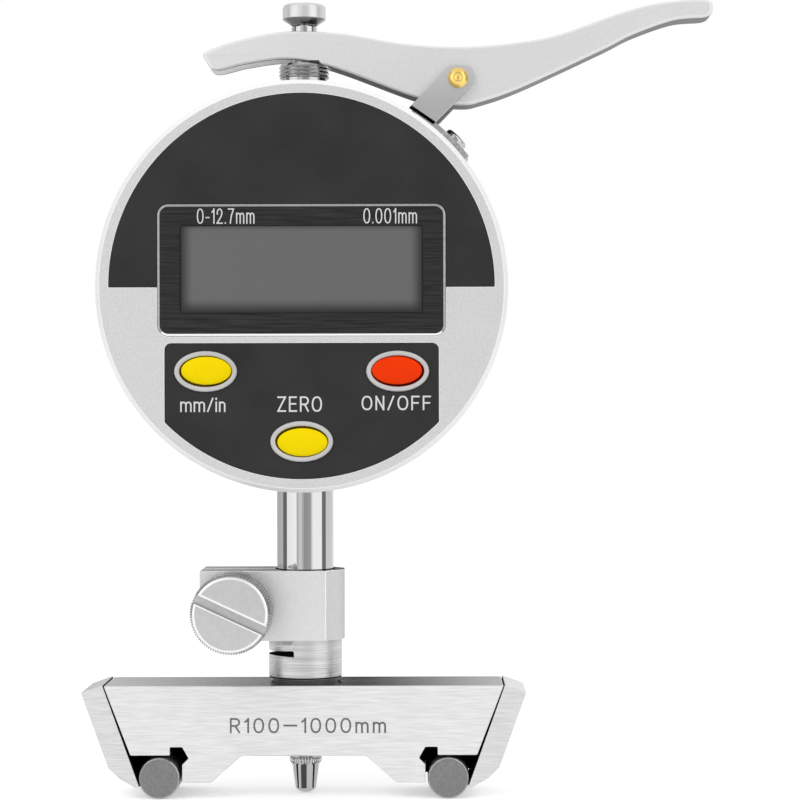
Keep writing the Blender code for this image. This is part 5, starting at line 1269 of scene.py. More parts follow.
def key_rims():
    """The raised oval rims round the keys, rounded on top."""
    floor = CASE_FRONT + PANEL_POCKET - SEAM
    top = CASE_FRONT - RIM_PROUD
    turns = [QUARTER_TURN * i / CORNER_STEPS for i in range(CORNER_STEPS + 1)]
    outer = [(RIM_ROUND * (1 - math.cos(t)), RIM_ROUND * (1 - math.sin(t))) for t in turns]
    section = [(0.0, floor)]
    section += [(inset, top + drop) for inset, drop in outer]
    section += [(RIM_WALL - inset, top + drop) for inset, drop in reversed(outer)]
    section.append((RIM_WALL, floor))
    rims = []
    for x, z in BUTTON_PLACES.values():
        rows = []
        for inset, y in section:
            edge = ellipse(RIM_HALF_WIDE - inset, RIM_HALF_HIGH - inset, x, z)
            rows.append([(a, y, b) for a, b in edge])
        rims.append(lofted("key_rims", rows, ring=True))
    return join(*rims)


def face_plate():
    """Dark half-moon plate above the centre line, cut away round the display."""
    outline = panel_outline(PANEL_RADIUS, -PANEL_DROP)
    plate = slab("face_panel", outline, CASE_FRONT, PANEL_BACK)
    cut(plate, slab("window", window_outline(SEAM), CASE_FRONT - OVERRUN, PANEL_BACK + OVERRUN))
    return soften(plate, EDGE / 2, 2)


def keypad_plate():
    """Dark plate round the three keys."""
    plate = slab("keypad_panel", keypad_outline(0.0), CASE_FRONT, PANEL_BACK)
    cut(plate, *key_holes(SEAM, PANEL_BACK + OVERRUN))
    return soften(plate, EDGE / 2, 2)


def display_frame():
    """Black brushed frame with a bare metal edge, that stands a little proud of the face."""
    rows = []
    for grow, y in ((0.0, PANEL_BACK), (0.0, CASE_FRONT), (-WINDOW_EDGE, WINDOW_FRONT)):
        rows.append([(x, y, z) for x, z in window_outline(grow)])
    panel = lofted("window_frame", rows)
    wear(panel, "black_frame")
    tone(panel, "frame_edge", lambda face: abs(face.normal.y) <= FRONT_SHARE)
    # Edge faces that look down are near-white: painted highlight along the lower edge.
    tone(panel, "edge_highlight_steel", lambda face: face.normal.z < -SLANT_SHARE)
    screen = rounded_box(SCREEN_WIDE, SCREEN_HIGH, SCREEN_CORNER, 0.0, SCREEN_Z)
    hole = slab("screen", screen, CASE_FRONT - OVERRUN, PANEL_BACK + OVERRUN)
    wear(hole, "black_frame")
    return cut(panel, hole)


def display_module():
    """Display module whose glass stands in the case's opening."""
    outline = box_outline(MODULE_WIDE, MODULE_HIGH, 0.0, SCREEN_Z)
    module = slab("display_module", outline, MODULE_FRONT, MODULE_BACK)
    glass = box_outline(SCREEN_WIDE - SEAM, SCREEN_HIGH - SEAM, 0.0, SCREEN_Z)
    join(module, slab("glass", glass, CASE_FRONT + GLASS_RECESS, MODULE_BACK - MODULE_THICK / 2))
    return soften(module, EDGE, 2)


def key_cap(name, x, z):
    """Oval push button with a domed top, a flange behind the case's face and a plunger."""
    front = CASE_FRONT - BUTTON_PROUD
    layers = []
    for i in range(1, CROWN_ROWS + 1):
        t = QUARTER_TURN * i / CROWN_ROWS
        y = front + BUTTON_CROWN * (1 - math.cos(t))
        layers.append((y, BUTTON_HALF_WIDE * math.sin(t), BUTTON_HALF_HIGH * math.sin(t)))
    flange_wide = BUTTON_HALF_WIDE + BUTTON_FLANGE
    flange_high = BUTTON_HALF_HIGH + BUTTON_FLANGE
    layers += [
        (FLANGE_FRONT, BUTTON_HALF_WIDE, BUTTON_HALF_HIGH), (FLANGE_FRONT, flange_wide, flange_high),
        (FLANGE_BACK, flange_wide, flange_high), (FLANGE_BACK, BUTTON_PLUNGER, BUTTON_PLUNGER),
        (PLUNGER_END, BUTTON_PLUNGER, BUTTON_PLUNGER),
    ]
    rows = [[(a, y, b) for a, b in ellipse(wide, high, x, z)] for y, wide, high in layers]
    return lofted(name, rows)


# The plunger


def threaded_neck():
    """Threaded neck that guides the spindle above the case, with an undercut under the thread."""
    core = NECK_RADIUS - NECK_UNDERCUT
    profile = (
        (SPINDLE_HOLE, NECK_FOOT), (NECK_FLANGE_RADIUS, NECK_FOOT),
        (NECK_FLANGE_RADIUS, NECK_FLANGE_TOP), (NECK_RADIUS, NECK_FLANGE_TOP), (NECK_RADIUS, CASE_TOP),
        (core, CASE_TOP + EDGE), (core, THREAD_BASE - EDGE),
    )
    rows = circle_rows(profile, LARGE_FACETS)
    count = math.ceil((THREAD_TOP - THREAD_BASE) / THREAD_ROW)
    for i in range(count + 1):
        height = THREAD_BASE + (THREAD_TOP - THREAD_BASE) * i / count
        row = []
        for k in range(LARGE_FACETS):
            share = (height / THREAD_PITCH - k / LARGE_FACETS) % 1.0
            radius = NECK_RADIUS - THREAD_DEPTH * abs(2 * share - 1)
            turn = 2 * math.pi * k / LARGE_FACETS
            row.append((radius * math.cos(turn), radius * math.sin(turn), height))
        rows.append(row)
    rows += circle_rows(((core, NECK_TOP), (SPINDLE_HOLE, NECK_TOP)), LARGE_FACETS)
    return lofted("threaded_neck", rows, ring=True)


def plunger_rod():
    """Plunger rod through the whole gauge, with a stud on top and a socket at its foot."""
    socket_radius = SPINDLE_STUD + FIT_GAP
    socket_top = SPINDLE_FOOT + STUD_LENGTH + FIT_GAP
    profile = (
        (socket_radius, socket_top), (socket_radius, SPINDLE_FOOT), (SPINDLE_RADIUS, SPINDLE_FOOT),
        (SPINDLE_RADIUS, SPINDLE_SHOULDER), (SPINDLE_STUD, SPINDLE_SHOULDER),
        (SPINDLE_STUD, SPINDLE_SHOULDER + STUD_LENGTH),
    )
    return turned("plunger_rod", profile)


def lift_cap():
    """Turned cap on the spindle's upper stud: a rounded rim over a tapered throat."""
    top = CAP_BASE + CAP_HEIGHT
    socket_radius = SPINDLE_STUD + FIT_GAP
    socket_top = SPINDLE_SHOULDER + STUD_LENGTH + FIT_GAP
    throat = CAP_RADIUS - CAP_TAPER_INSET
    profile = [
        (socket_radius, socket_top), (socket_radius, CAP_BASE), (throat - CAP_LIP, CAP_BASE),
        (throat, CAP_BASE + CAP_LIP), (CAP_RADIUS - CAP_LIP, CAP_BASE + CAP_TAPER_HEIGHT - CAP_LIP / 2),
        (CAP_RADIUS, CAP_BASE + CAP_TAPER_HEIGHT + CAP_LIP / 2),
    ]
    profile += arc(CAP_CORNER, 0.0, QUARTER_TURN, CORNER_STEPS, CAP_RADIUS - CAP_CORNER, top - CAP_CORNER)
    cap = wear(turned("lift_cap", profile, sides=LARGE_FACETS), "aluminium")
    return tone(cap, "cap_throat", lambda face: face.normal.z < -RIM_SHARE)


def contact_tip():
    """Hardened tip: a serrated collar, a slender cone and a rounded end."""
    collar_low = CONTACT_TOP - CONTACT_COLLAR_HEIGHT
    stud_top = SPINDLE_FOOT + STUD_LENGTH
    sides = CONTACT_TEETH * TOOTH_SPOTS
    profile = []
    for i in range(1, CORNER_STEPS + 1):
        t = QUARTER_TURN * i / CORNER_STEPS
        rise = CONTACT_DOME * (1 - math.cos(t))
        profile.append((CONTACT_END_RADIUS * math.sin(t), CONTACT_TIP + rise))
    root = CONTACT_COLLAR_RADIUS - CONTACT_TOOTH
    profile += [(CONTACT_ROOT_RADIUS, collar_low - CONTACT_TOOTH), (root, collar_low)]
    rows = circle_rows(profile, sides)
    for height in (collar_low + CONTACT_TOOTH, CONTACT_TOP - CONTACT_TOOTH):
        rows.append(circle_row(CONTACT_COLLAR_RADIUS, height, sides, root))
    stud = ((root, CONTACT_TOP), (SPINDLE_STUD, CONTACT_TOP), (SPINDLE_STUD, stud_top))
    rows += circle_rows(stud, sides)
    return lofted("contact_tip", rows)


def spring_coil():
    """Spring that pushes the spindle down, between its hub and the neck's flange."""
    low = HUB_TOP + FIT_GAP + SPRING_WIRE
    high = NECK_FOOT - FIT_GAP - SPRING_WIRE
    count = SPRING_TURNS * SPRING_STEPS
    rows = []
    for i in range(count + 1):
        turn = 2 * math.pi * i / SPRING_STEPS
        out = Vector((math.cos(turn), math.sin(turn), 0.0))
        centre = out * SPRING_RADIUS + Vector((0.0, 0.0, low + (high - low) * i / count))
        row = []
        for across, up in arc(SPRING_WIRE, 0.0, 2 * math.pi, SPRING_SIDES)[:-1]:
            row.append(centre + out * across + Vector((0.0, 0.0, up)))
        rows.append(row)
    return lofted("spring_coil", rows)


# The lift lever


def lever():
    """Cast lever: a fork under the plunger cap, a boss on the pivot and a thumb end."""
    shares = LEVER_UPPER_SHARES + LEVER_LOWER_SHARES
    spots = [(PIVOT_X + LEVER_ARM * a, PIVOT_Z + LEVER_ARM * b) for a, b in shares]
    half = LEVER_DEPTH / 2
    made = slab("lever", smooth_loop(spots, CURVE_STEPS), -half, half)
    wear(made, "cast_lever")
    # Faces that look down are dark grey: painted shade on the underside.
    tone(made, "lever_underside_shade", lambda face: face.normal.z < -math.cos(LEVER_UNDERSIDE))
    soften(made, LEVER_EDGE, LEVER_EDGE_STEPS, 0, clamp=False)
    half_gap = FORK_GAP / 2
    slot_end = half_gap + FORK_SLOT_END
    slot_start = PIVOT_X - LEVER_ARM - OVERRUN
    root = slot_end - FORK_ROOT_RADIUS
    corner_y = half_gap - FORK_ROOT_RADIUS
    outline = [(slot_start, -half_gap)]
    outline += arc(FORK_ROOT_RADIUS, -QUARTER_TURN, 0.0, CORNER_STEPS, root, -corner_y)
    outline += arc(FORK_ROOT_RADIUS, 0.0, QUARTER_TURN, CORNER_STEPS, root, corner_y)
    outline.append((slot_start, half_gap))
    cutters = [
        slab("slot", outline, PIVOT_Z - LEVER_ARM, PIVOT_Z + LEVER_ARM, UPRIGHT),
        round_bar(PIVOT_PIN_RADIUS + FIT_GAP, -LEVER_DEPTH, LEVER_DEPTH, rearward(PIVOT_X, PIVOT_Z)),
        round_bar(NECK_RADIUS + FIT_GAP, NECK_TOP - OVERRUN, NECK_TOP + FIT_GAP),
    ]
    for cutter in cutters:
        wear(cutter, "cast_lever")
    return cut(made, *cutters)


def ear_outline(trim):
    """A bracket ear: a strip up from the case's rim, its foot trimmed, with a faceted end."""
    along = Vector((math.cos(EAR_TILT), math.sin(EAR_TILT)))
    across = Vector((-math.sin(EAR_TILT), math.cos(EAR_TILT)))
    pivot = Vector((PIVOT_X, PIVOT_Z))
    half = EAR_WIDE / 2
    end = [pivot + half * Vector(share) for share in EAR_END_SHARES]
    foot_radius = STRAP_OUTER - STRAP_THICK / 2 + trim
    centre = Vector((0.0, CASE_CENTRE))
    corners = []
    for offset in (half, -half):
        start = pivot + across * offset - centre
        reach = start.dot(along)
        drop = reach - math.sqrt(foot_radius**2 - start.dot(across) ** 2)
        corners.append(centre + start - along * drop)
    shoulder_low = pivot - across * half - along * EAR_SHOULDER_LOW
    shoulder_high = pivot + across * half - along * EAR_SHOULDER_HIGH
    return [tuple(p) for p in [corners[0], corners[1], shoulder_low, *end, shoulder_high]]


def strap_outline(end):
    """A strip on the case's rim, from the first angle to this one."""
    count = round((end - STRAP_START_ANGLE) / STRAP_STEP_ANGLE)
    outer = arc(STRAP_OUTER, STRAP_START_ANGLE, end, count, 0.0, CASE_CENTRE)
    inner = arc(STRAP_INNER, end, STRAP_START_ANGLE, count, 0.0, CASE_CENTRE)
    return outer + inner


def lever_bracket():
    """Bracket on the case's rim with two ears that hold the lever's pin."""
    lap = EAR_INNER + STRAP_EAR_LAP
    strap = slab("bracket", strap_outline(STRAP_END_ANGLE), -lap, lap)
    wide = slab("wide", strap_outline(STRAP_WIDE_END_ANGLE), -EAR_OUTER, EAR_OUTER)
    step_y = EAR_OUTER - EAR_STEP
    ears = []
    for side in (-1, 1):
        ears.append(slab("ear", ear_outline(0.0), side * EAR_INNER, side * step_y))
        ears.append(slab("ear_face", ear_outline(EAR_TRIM), side * (EAR_INNER + EDGE), side * EAR_OUTER))
    join(strap, wide, *ears)
    pin_radius = PIVOT_PIN_RADIUS + FIT_GAP
    reach = EAR_OUTER + OVERRUN
    screw_radius = STRAP_SCREW_SHANK + FIT_GAP
    low = STRAP_INNER - OVERRUN
    high = STRAP_OUTER + OVERRUN
    cut(
        strap,
        round_bar(pin_radius, -reach, reach, rearward(PIVOT_X, PIVOT_Z)),
        round_bar(screw_radius, low, high, radial(STRAP_SCREW_ANGLE), SMALL_FACETS),
    )
    # The bracket's steel is lighter upwards and its rounded edges near-white: painted light and painted
    # highlight.
    wear(strap, "bracket_steel_painted_light", "block_edge_highlight")

    # The step faces at the ears' feet are near-black: painted shade in the gap over the case.
    def in_shaded_step(face):
        return abs(face.normal.y) > SQUARE_SHARE and abs(abs(face.center.y) - step_y) < EDGE

    tone(strap, "painted_shade_black", in_shaded_step)
    tone(strap, "strap_steel", lambda face: face.center.z < PIVOT_Z - 2 * EAR_WIDE)
    return soften(strap, EAR_EDGE, 2, look=1)


def strap_screw():
    """Pan-head screw that holds the lever's bracket on the case."""
    seat = STRAP_OUTER + SEAM
    top = seat + STRAP_SCREW_HEAD_THICK
    corner = STRAP_SCREW_HEAD_THICK / 2
    place = radial(STRAP_SCREW_ANGLE)
    profile = [
        (STRAP_SCREW_SHANK, STRAP_OUTER - STRAP_SCREW_LENGTH), (STRAP_SCREW_SHANK, seat),
        (STRAP_SCREW_HEAD, seat),
    ]
    profile += arc(corner, 0.0, QUARTER_TURN, CORNER_STEPS, STRAP_SCREW_HEAD - corner, top - corner)
    screw = turned("strap_screw", profile, place)
    outline = box_outline(2 * (STRAP_SCREW_HEAD + OVERRUN), STRAP_SCREW_SLOT)
    return cut(screw, slab("slot", outline, top - STRAP_SCREW_SLOT_DEPTH, top + OVERRUN, place))


def brass_pin():
    """Brass pin through both ears and the lever, with a domed, dimpled head and a riveted tail."""
    head_back = -EAR_OUTER - SEAM
    head_front = head_back - PIVOT_HEAD_THICK
    tail_front = EAR_OUTER + SEAM
    profile = [
        (PIVOT_DIMPLE_RADIUS / 6, head_front + PIVOT_DIMPLE_DEPTH),
        (PIVOT_DIMPLE_RADIUS / 2, head_front + PIVOT_DIMPLE_DEPTH / 2),
    ]
    for i in range(CORNER_STEPS + 1):
        share = i / CORNER_STEPS
        radius = PIVOT_DIMPLE_RADIUS + (PIVOT_HEAD_RADIUS - PIVOT_DIMPLE_RADIUS) * share
        profile.append((radius, head_front + PIVOT_HEAD_THICK * PIVOT_HEAD_FALL * share**2))
    profile += [
        (PIVOT_HEAD_RADIUS, head_back), (PIVOT_PIN_RADIUS, head_back), (PIVOT_PIN_RADIUS, tail_front),
        (PIVOT_TAIL_RADIUS, tail_front), (PIVOT_TAIL_RADIUS, tail_front + PIVOT_TAIL_THICK / 2),
        (PIVOT_TAIL_RADIUS - PIVOT_TAIL_THICK / 2, tail_front + PIVOT_TAIL_THICK),
    ]
    return turned("brass_pin", profile, rearward(PIVOT_X, PIVOT_Z))


# The back


def back_cover():
    """Flat back of the case, with a hole for the battery cover and seats for four screws."""
    profile = (
        (REAR_RADIUS, REAR_FRONT), (REAR_RADIUS, REAR_BACK - REAR_CHAMFER),
        (REAR_RADIUS - REAR_CHAMFER, REAR_BACK),
    )
    cover = turned("back_cover", profile, rearward(0.0, CASE_CENTRE), CASE_FACETS)
    low = REAR_FRONT - OVERRUN
    high = REAR_BACK + OVERRUN
    seat = REAR_BACK - REAR_SCREW_HEAD_THICK - FIT_GAP
    lid_place = rearward(0.0, BATTERY_Z)
    cutters = [round_bar(LID_RADIUS + FIT_GAP / 2, low, high, lid_place, LARGE_FACETS)]
    for x, z in post_places():
        place = rearward(x, z)
        cutters.append(round_bar(REAR_SCREW_SHANK + FIT_GAP, low, high, place, SMALL_FACETS))
        cutters.append(round_bar(REAR_SCREW_HEAD + FIT_GAP / 2, seat, high, place))
    cut(cover, *cutters)
    return soften(cover, EDGE, 2)


def back_screw(number, x, z):
    """Screw of the rear cover, with a flat head and a cross slot."""
    place = rearward(x, z)
    under_head = REAR_BACK - REAR_SCREW_HEAD_THICK
    profile = (
        (REAR_SCREW_SHANK, REAR_FRONT - REAR_SCREW_LENGTH), (REAR_SCREW_SHANK, under_head),
        (REAR_SCREW_HEAD, under_head), (REAR_SCREW_HEAD, REAR_BACK),
    )
    screw = turned(f"back_screw_{number}", profile, place)
    floor = REAR_BACK - REAR_SCREW_SLOT_DEPTH
    outline = box_outline(REAR_SCREW_SLOT_LONG, REAR_SCREW_SLOT)
    arms = []
    for turn in (0.0, QUARTER_TURN):
        arm_place = Matrix.Translation((x, 0.0, z)) @ Matrix.Rotation(turn, 4, "Y") @ FRONT_VIEW
        arms.append(slab("arm", outline, floor, REAR_BACK + OVERRUN, arm_place))
    cut(screw, *arms)
    return soften(screw, EDGE, 2)


def battery_lid():
    """Round screw-in cover with a coin slot."""
    back = REAR_BACK + LID_PROUD
    profile = (
        (LID_RADIUS, REAR_FRONT), (LID_RADIUS, back - LID_CHAMFER), (LID_RADIUS - LID_CHAMFER, back),
    )
    lid = turned("battery_lid", profile, rearward(0.0, BATTERY_Z), LARGE_FACETS)
    outline = rounded_box(LID_SLOT_LONG, LID_SLOT_WIDE, LID_SLOT_WIDE / 2, 0.0, BATTERY_Z)
    cut(lid, slab("slot", outline, back - LID_SLOT_DEEP, back + OVERRUN))
    return soften(lid, EDGE, 2)


# Lettering


def sweep(count, first, last):
    """The angles of these steps, of which a half turn has so many."""
    return [math.pi * i / count for i in range(first, last + 1)]


# Each sign's strokes, in heights of a capital: its width is its reach
BOWL_SQUARENESS = 0.8
BOWL = [
    (0.3 - 0.3 * math.copysign(abs(math.sin(t)) ** BOWL_SQUARENESS, math.sin(t)), 0.5 + 0.5 * math.cos(t))
    for t in sweep(14, 0, 28)
]
ARCH = [(0.19 - 0.19 * math.cos(t), 0.5 + 0.2 * math.sin(t)) for t in sweep(10, 0, 10)]
HOOK = [(0.27 - 0.25 * math.cos(t), 0.73 + 0.27 * math.sin(t)) for t in sweep(10, -1, 10)]
LOOP = [(0.32 + 0.24 * math.sin(t), 0.74 + 0.26 * math.cos(t)) for t in sweep(10, 0, 10)]
SIGNS = {
    "0": [BOWL],
    "O": [[(x * 1.1, z) for x, z in BOWL]],
    "1": [[(0.0, 0.78), (0.1, 0.86), (0.2, 1.0)], [(0.2, 1.0), (0.2, 0.0)]],
    "2": [[*HOOK, (0.45, 0.5), (0.0, 0.0)], [(0.0, 0.0), (0.55, 0.0)]],
    "7": [[(0.0, 1.0), (0.54, 1.0)], [(0.54, 1.0), (0.3, 0.5), (0.2, 0.0)]],
    ".": [[(0.0, 0.0), (0.0, 0.02)]],
    "-": [[(0.0, 0.4), (0.3, 0.4)]],
    "_": [[(0.0, 0.5), (0.8, 0.5)]],
    "/": [[(0.0, 0.0), (0.38, 1.0)]],
    "i": [[(0.0, 0.0), (0.0, 0.7)], [(0.0, 0.94), (0.0, 1.0)]],
    "n": [[(0.0, 0.0), (0.0, 0.7)], [*ARCH, (0.38, 0.0)]],
    "m": [[(0.0, 0.0), (0.0, 0.7)], [*ARCH, (0.38, 0.0)], [(x + 0.38, z) for x, z in [*ARCH, (0.38, 0.0)]]],
    "E": [[(0.48, 1.0), (0.0, 1.0), (0.0, 0.0), (0.5, 0.0)], [(0.0, 0.52), (0.44, 0.52)]],
    "F": [[(0.48, 1.0), (0.0, 1.0), (0.0, 0.0)], [(0.0, 0.5), (0.42, 0.5)]],
    "N": [[(0.0, 0.0), (0.0, 1.0)], [(0.0, 1.0), (0.52, 0.0)], [(0.52, 0.0), (0.52, 1.0)]],
    "R": [[(0.0, 0.0), (0.0, 1.0)], [(0.0, 1.0), *LOOP, (0.0, 0.48)], [(0.3, 0.48), (0.56, 0.0)]],
    "Z": [[(0.0, 1.0), (0.54, 1.0)], [(0.54, 1.0), (0.0, 0.0)], [(0.0, 0.0), (0.54, 0.0)]],
}


def ribbon(bm, line, half, front, back):
    """A flat stroke of one width along the line, between two depths. It closes where the line does."""
    closed = (line[0] - line[-1]).length < half * CLOSED_SHARE
    spots = line[:-1] if closed else line
    count = len(spots)
    sides = []
    for i, spot in enumerate(spots):
        steps = []
        if closed or i > 0:
            steps.append((spot - spots[i - 1]).normalized())
        if closed or i < count - 1:
            steps.append((spots[(i + 1) % count] - spot).normalized())
        along = sum(steps, Vector((0.0, 0.0))).normalized()
        across = Vector((-along.y, along.x)) * half / max(along.dot(steps[0]), LEAST_MITRE)
        push = Vector((0.0, 0.0)) if len(steps) == 2 else along * half * (1 if i else -1)
        sides.append((spot + across + push, spot - across + push))
    tops = [[bm.verts.new((p.x, front, p.y)) for p in pair] for pair in sides]
    feet = [[bm.verts.new((p.x, back, p.y)) for p in pair] for pair in sides]
    for i in range(count if closed else count - 1):
        j = (i + 1) % count
        for ring in (tops, feet):
            bm.faces.new((ring[i][0], ring[j][0], ring[j][1], ring[i][1]))
        for k in (0, 1):
            bm.faces.new((tops[i][k], tops[j][k], feet[j][k], feet[i][k]))
    for i in () if closed else (0, -1):
        bm.faces.new((tops[i][0], tops[i][1], feet[i][1], feet[i][0]))


def lettering(name, words, spot, size, front, gap, stroke):
    """Words in flat strokes, just proud of a face. Spot, their foot, and size are in millimetres."""
    spot, size = ([value * MM for value in pair] for pair in (spot, size))
    lines = []
    pen = 0.0
    for sign in words:
        strokes = SIGNS[sign]
        lines += [[(pen + x, z) for x, z in line] for line in strokes]
        pen += max(x for line in strokes for x, z in line) + gap
    scale_x = (size[0] - stroke) / (pen - gap)
    scale_z = size[1] - stroke
    foot = Vector(spot) + Vector((stroke, stroke)) / 2
    bm = bmesh.new()
    for number, line in enumerate(lines):
        placed = [foot + Vector((x * scale_x, z * scale_z)) for x, z in line]
        proud = LETTER_PROUD * (1 + number % LETTER_LEVELS / (4 * LETTER_LEVELS))
        ribbon(bm, placed, stroke / 2, front - proud, front + LETTER_PROUD)
    return solid_from(bm, name)


# Each line of words: its foot and size in millimetres, the face's depth, the share of a height
# between two signs, the stroke in millimetres and the slot
WORDS = (
    ("words_unit", "mm/in", (-16.79, 54.1), (6.25, 1.98), CASE_FRONT, 0.27, 0.21, "dark_panel"),
    ("words_zero", "ZERO", (-3.37, 54.1), (6.18, 2.14), CASE_FRONT, 0.34, 0.23, "dark_panel"),
    ("words_power", "ON/OFF", (8.27, 54.3), (9.6, 2.0), CASE_FRONT, 0.34, 0.23, "dark_panel"),
    ("words_range", "0-12.7mm", (-14.43, 80.1), (7.97, 2.12), WINDOW_FRONT, 0.34, 0.17, "black_frame"),
    ("words_step", "0.001mm", (8.57, 80.1), (7.42, 2.12), WINDOW_FRONT, 0.34, 0.17, "black_frame"),
)


def put_lettering():
    """Generic words only: units, functions and ranges."""
    for name, words, spot, size, front, gap, stroke, slot in WORDS:
        piece = lettering(name, words, spot, size, front, gap, stroke * MM)
        show(piece, "indicator", slot, look="letter_paint")
    place = (ENGRAVED_FOOT, ENGRAVED_SIZE, -BAR_HALF_DEPTH, ENGRAVED_GAP, ENGRAVED_STROKE)
    engraved = lettering("words_radius", "R100_1000mm", *place)
    show(engraved, "base", "brushed_steel", look="engraving")


# Everything in its place


def put_base():
    show(base_bar(), "base", "brushed_steel", "base_bar")
    for side_name, side in SIDES.items():
        plate = side_plate(side_name, side)
        show(plate, "base", "brushed_steel", "side_plate_" + side_name)
        # A black sheet in each pocket's gap: painted shade.
        shade_sheet = pocket_shade_sheet(side_name, side)
        show(shade_sheet, "base", "black_steel", look="painted_shade_black")
        bolt = plate_screw(side_name, side)
        show(bolt, "base", "black_steel", "plate_screw_" + side_name)
        pin = roller(side_name, side)
        show(pin, "base", "roller_steel", "roller_" + side_name)
    show(clamp_block(), "base", "satin_steel", "stem_clamp")
    show(clamp_sleeve(), "base", "satin_steel", "stem_clamp")
    # Black rings at the stem's foot and behind the saw cut: painted shade.
    show(stem_foot_shade_ring(), "base", "black_steel", look="painted_shade_black")
    show(saw_cut_shade_ring(), "base", "black_steel", look="painted_shade_black")
    show(thumb_screw(), "clamp_knob", "knob_steel", "clamp_screw")
    show(stem_tube(), "stem", "polished_steel", "stem_tube")


def put_indicator():
    show(case_shell(), "indicator", "silver_paint", "front_case")
    show(key_rims(), "indicator", "silver_paint", "front_case", look="rim_plastic")
    show(face_plate(), "indicator", "dark_panel", "face_plate")
    show(keypad_plate(), "indicator", "dark_panel", "keypad_plate")
    show(display_frame(), "indicator", "black_frame", "display_frame")
    show(display_module(), "indicator", "display_glass", "lcd_module")
    keys = {"unit": "yellow_key", "power": "red_key", "zero": "yellow_key"}
    for name, look in keys.items():
        x, z = BUTTON_PLACES[name + "_button"]
        across, up = KEY_SHIFTS[name]
        cap = key_cap("key_" + name, x + across * KEY_SHIFT, z + up * KEY_SHIFT)
        show(cap, name + "_key", look, name + "_button")
    show(threaded_neck(), "indicator", "satin_steel", "upper_bush", look="thread_steel")
    spring = show(spring_coil(), "indicator", "spring_steel", "return_spring")
    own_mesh(spring)
    show(back_cover(), "indicator", "silver_paint", "rear_cover")
    for number, (x, z) in enumerate(post_places(), 1):
        screw = back_screw(number, x, z)
        show(screw, "indicator", "polished_steel", f"rear_screw_{number}")
    show(battery_lid(), "battery_lid", "silver_paint", "battery_cover")


def put_plunger_and_lever():
    show(plunger_rod(), "plunger", "polished_steel", "spindle")
    show(lift_cap(), "plunger", "aluminium", "plunger_cap")
    show(contact_tip(), "plunger", "polished_steel", "contact_point")
    show(lever(), "lever", "cast_lever", "lift_lever")
    show(lever_bracket(), "indicator", "cast_lever", "lever_bracket")
    show(strap_screw(), "indicator", "polished_steel", "bracket_screw")
    show(brass_pin(), "indicator", "brass", "pivot_pin")


def dress_solids():
    """Better finishes for the solids that stay as they are."""
    kept = {
        "lower_bush": "brass",
        "main_board": "circuit_board",
        "sensor_board": "circuit_board",
        "guide_rail": "clamp_steel",
        "scale_carrier": "black_frame",
        "guide_pin": "polished_steel",
        "battery": "polished_steel",
    }
    for node, look in kept.items():
        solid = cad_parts[node]
        solid.data.materials.clear()
        wear(solid, look)


# Floor, light and camera

WHITE = (1.0, 1.0, 1.0, 1.0)
FLOOR_HALF = 2.0
FLOOR_GREY = (0.8, 0.8, 0.8, 1.0)
FLOOR_ROUGH = 0.9
FLOOR_GLOW = 0.45
ROOM_LEVEL = 0.75
# Each lamp's name, spot, size and watts
LAMPS = (
    ("key", (-0.45, -0.7, 0.75), 0.6, 2.2),
    ("fill", (0.6, -0.6, 0.4), 0.6, 1.0),
)

# Cards on arcs round the stem: upright ones round the camera's side, and flat dark ones at the contact
# point, a painted shadow under the tip that only reflections see. An edge is a radius and a height
CARD_STEPS = 12
UPRIGHT_EDGES = ((0.36, 0.5 * MM), (0.36, 0.5))
BACK_EDGES = ((0.36, 0.5 * MM), (0.36, 0.14))
TIP_SHADOW_EDGES = ((2.2 * MM, SEAM), (14.0 * MM, SEAM))
# Angles from the camera's side towards the right, the light at each end, and the two edges
CARDS = (
    ("card_edge_left", -165.0, -100.0, 0.6, 0.85, UPRIGHT_EDGES),
    ("card_dark_left", -100.0, -78.0, 0.28, 0.22, UPRIGHT_EDGES),
    ("card_soft_left", -78.0, -33.0, 1.5, 1.68, UPRIGHT_EDGES),
    ("card_line", -33.0, -27.0, 0.8, 0.8, UPRIGHT_EDGES),
    ("card_fade", -27.0, -17.0, 0.9, 1.15, UPRIGHT_EDGES),
    ("card_dusk", -17.0, -1.0, 1.15, 0.55, UPRIGHT_EDGES),
    ("card_grey", -1.0, 24.0, 0.52, 0.62, UPRIGHT_EDGES),
    ("card_rise", 24.0, 33.0, 0.7, 1.5, UPRIGHT_EDGES),
    ("card_soft_right", 33.0, 74.0, 1.62, 1.62, UPRIGHT_EDGES),
    ("card_dark_right", 74.0, 95.0, 0.32, 0.26, UPRIGHT_EDGES),
    ("card_back_left", 168.0, 180.0, 1.1, 0.0, BACK_EDGES),
    ("card_back_right", 180.0, 195.0, 0.0, 0.78, BACK_EDGES),
    # Dark flat cards under the tip: painted shadow in its reflections
    ("tip_shadow_card_left", -86.0, -66.0, 0.02, 0.02, TIP_SHADOW_EDGES),
    ("tip_shadow_card_middle", -40.0, 10.0, 0.12, 0.12, TIP_SHADOW_EDGES),
    ("tip_shadow_card_right", 66.0, 86.0, 0.02, 0.02, TIP_SHADOW_EDGES),
)


def seen(tree, level):
    """The level for what the camera sees, by itself, in gloss or through glass, and nothing else."""
    path = tree.nodes.new("ShaderNodeLightPath")
    total = path.outputs["Is Camera Ray"]
    for kind in ("Is Glossy Ray", "Is Transmission Ray"):
        total = maths(tree, "MAXIMUM", total, path.outputs[kind])
    return maths(tree, "MULTIPLY", total, level)


def strip(name, low, high):
    """A strip of faces between two rows of as many spots."""
    bm = bmesh.new()
    rows = [[bm.verts.new(spot) for spot in row] for row in (low, high)]
    for i in range(len(low) - 1):
        bm.faces.new((rows[0][i], rows[0][i + 1], rows[1][i + 1], rows[1][i]))
    return solid_from(bm, name)


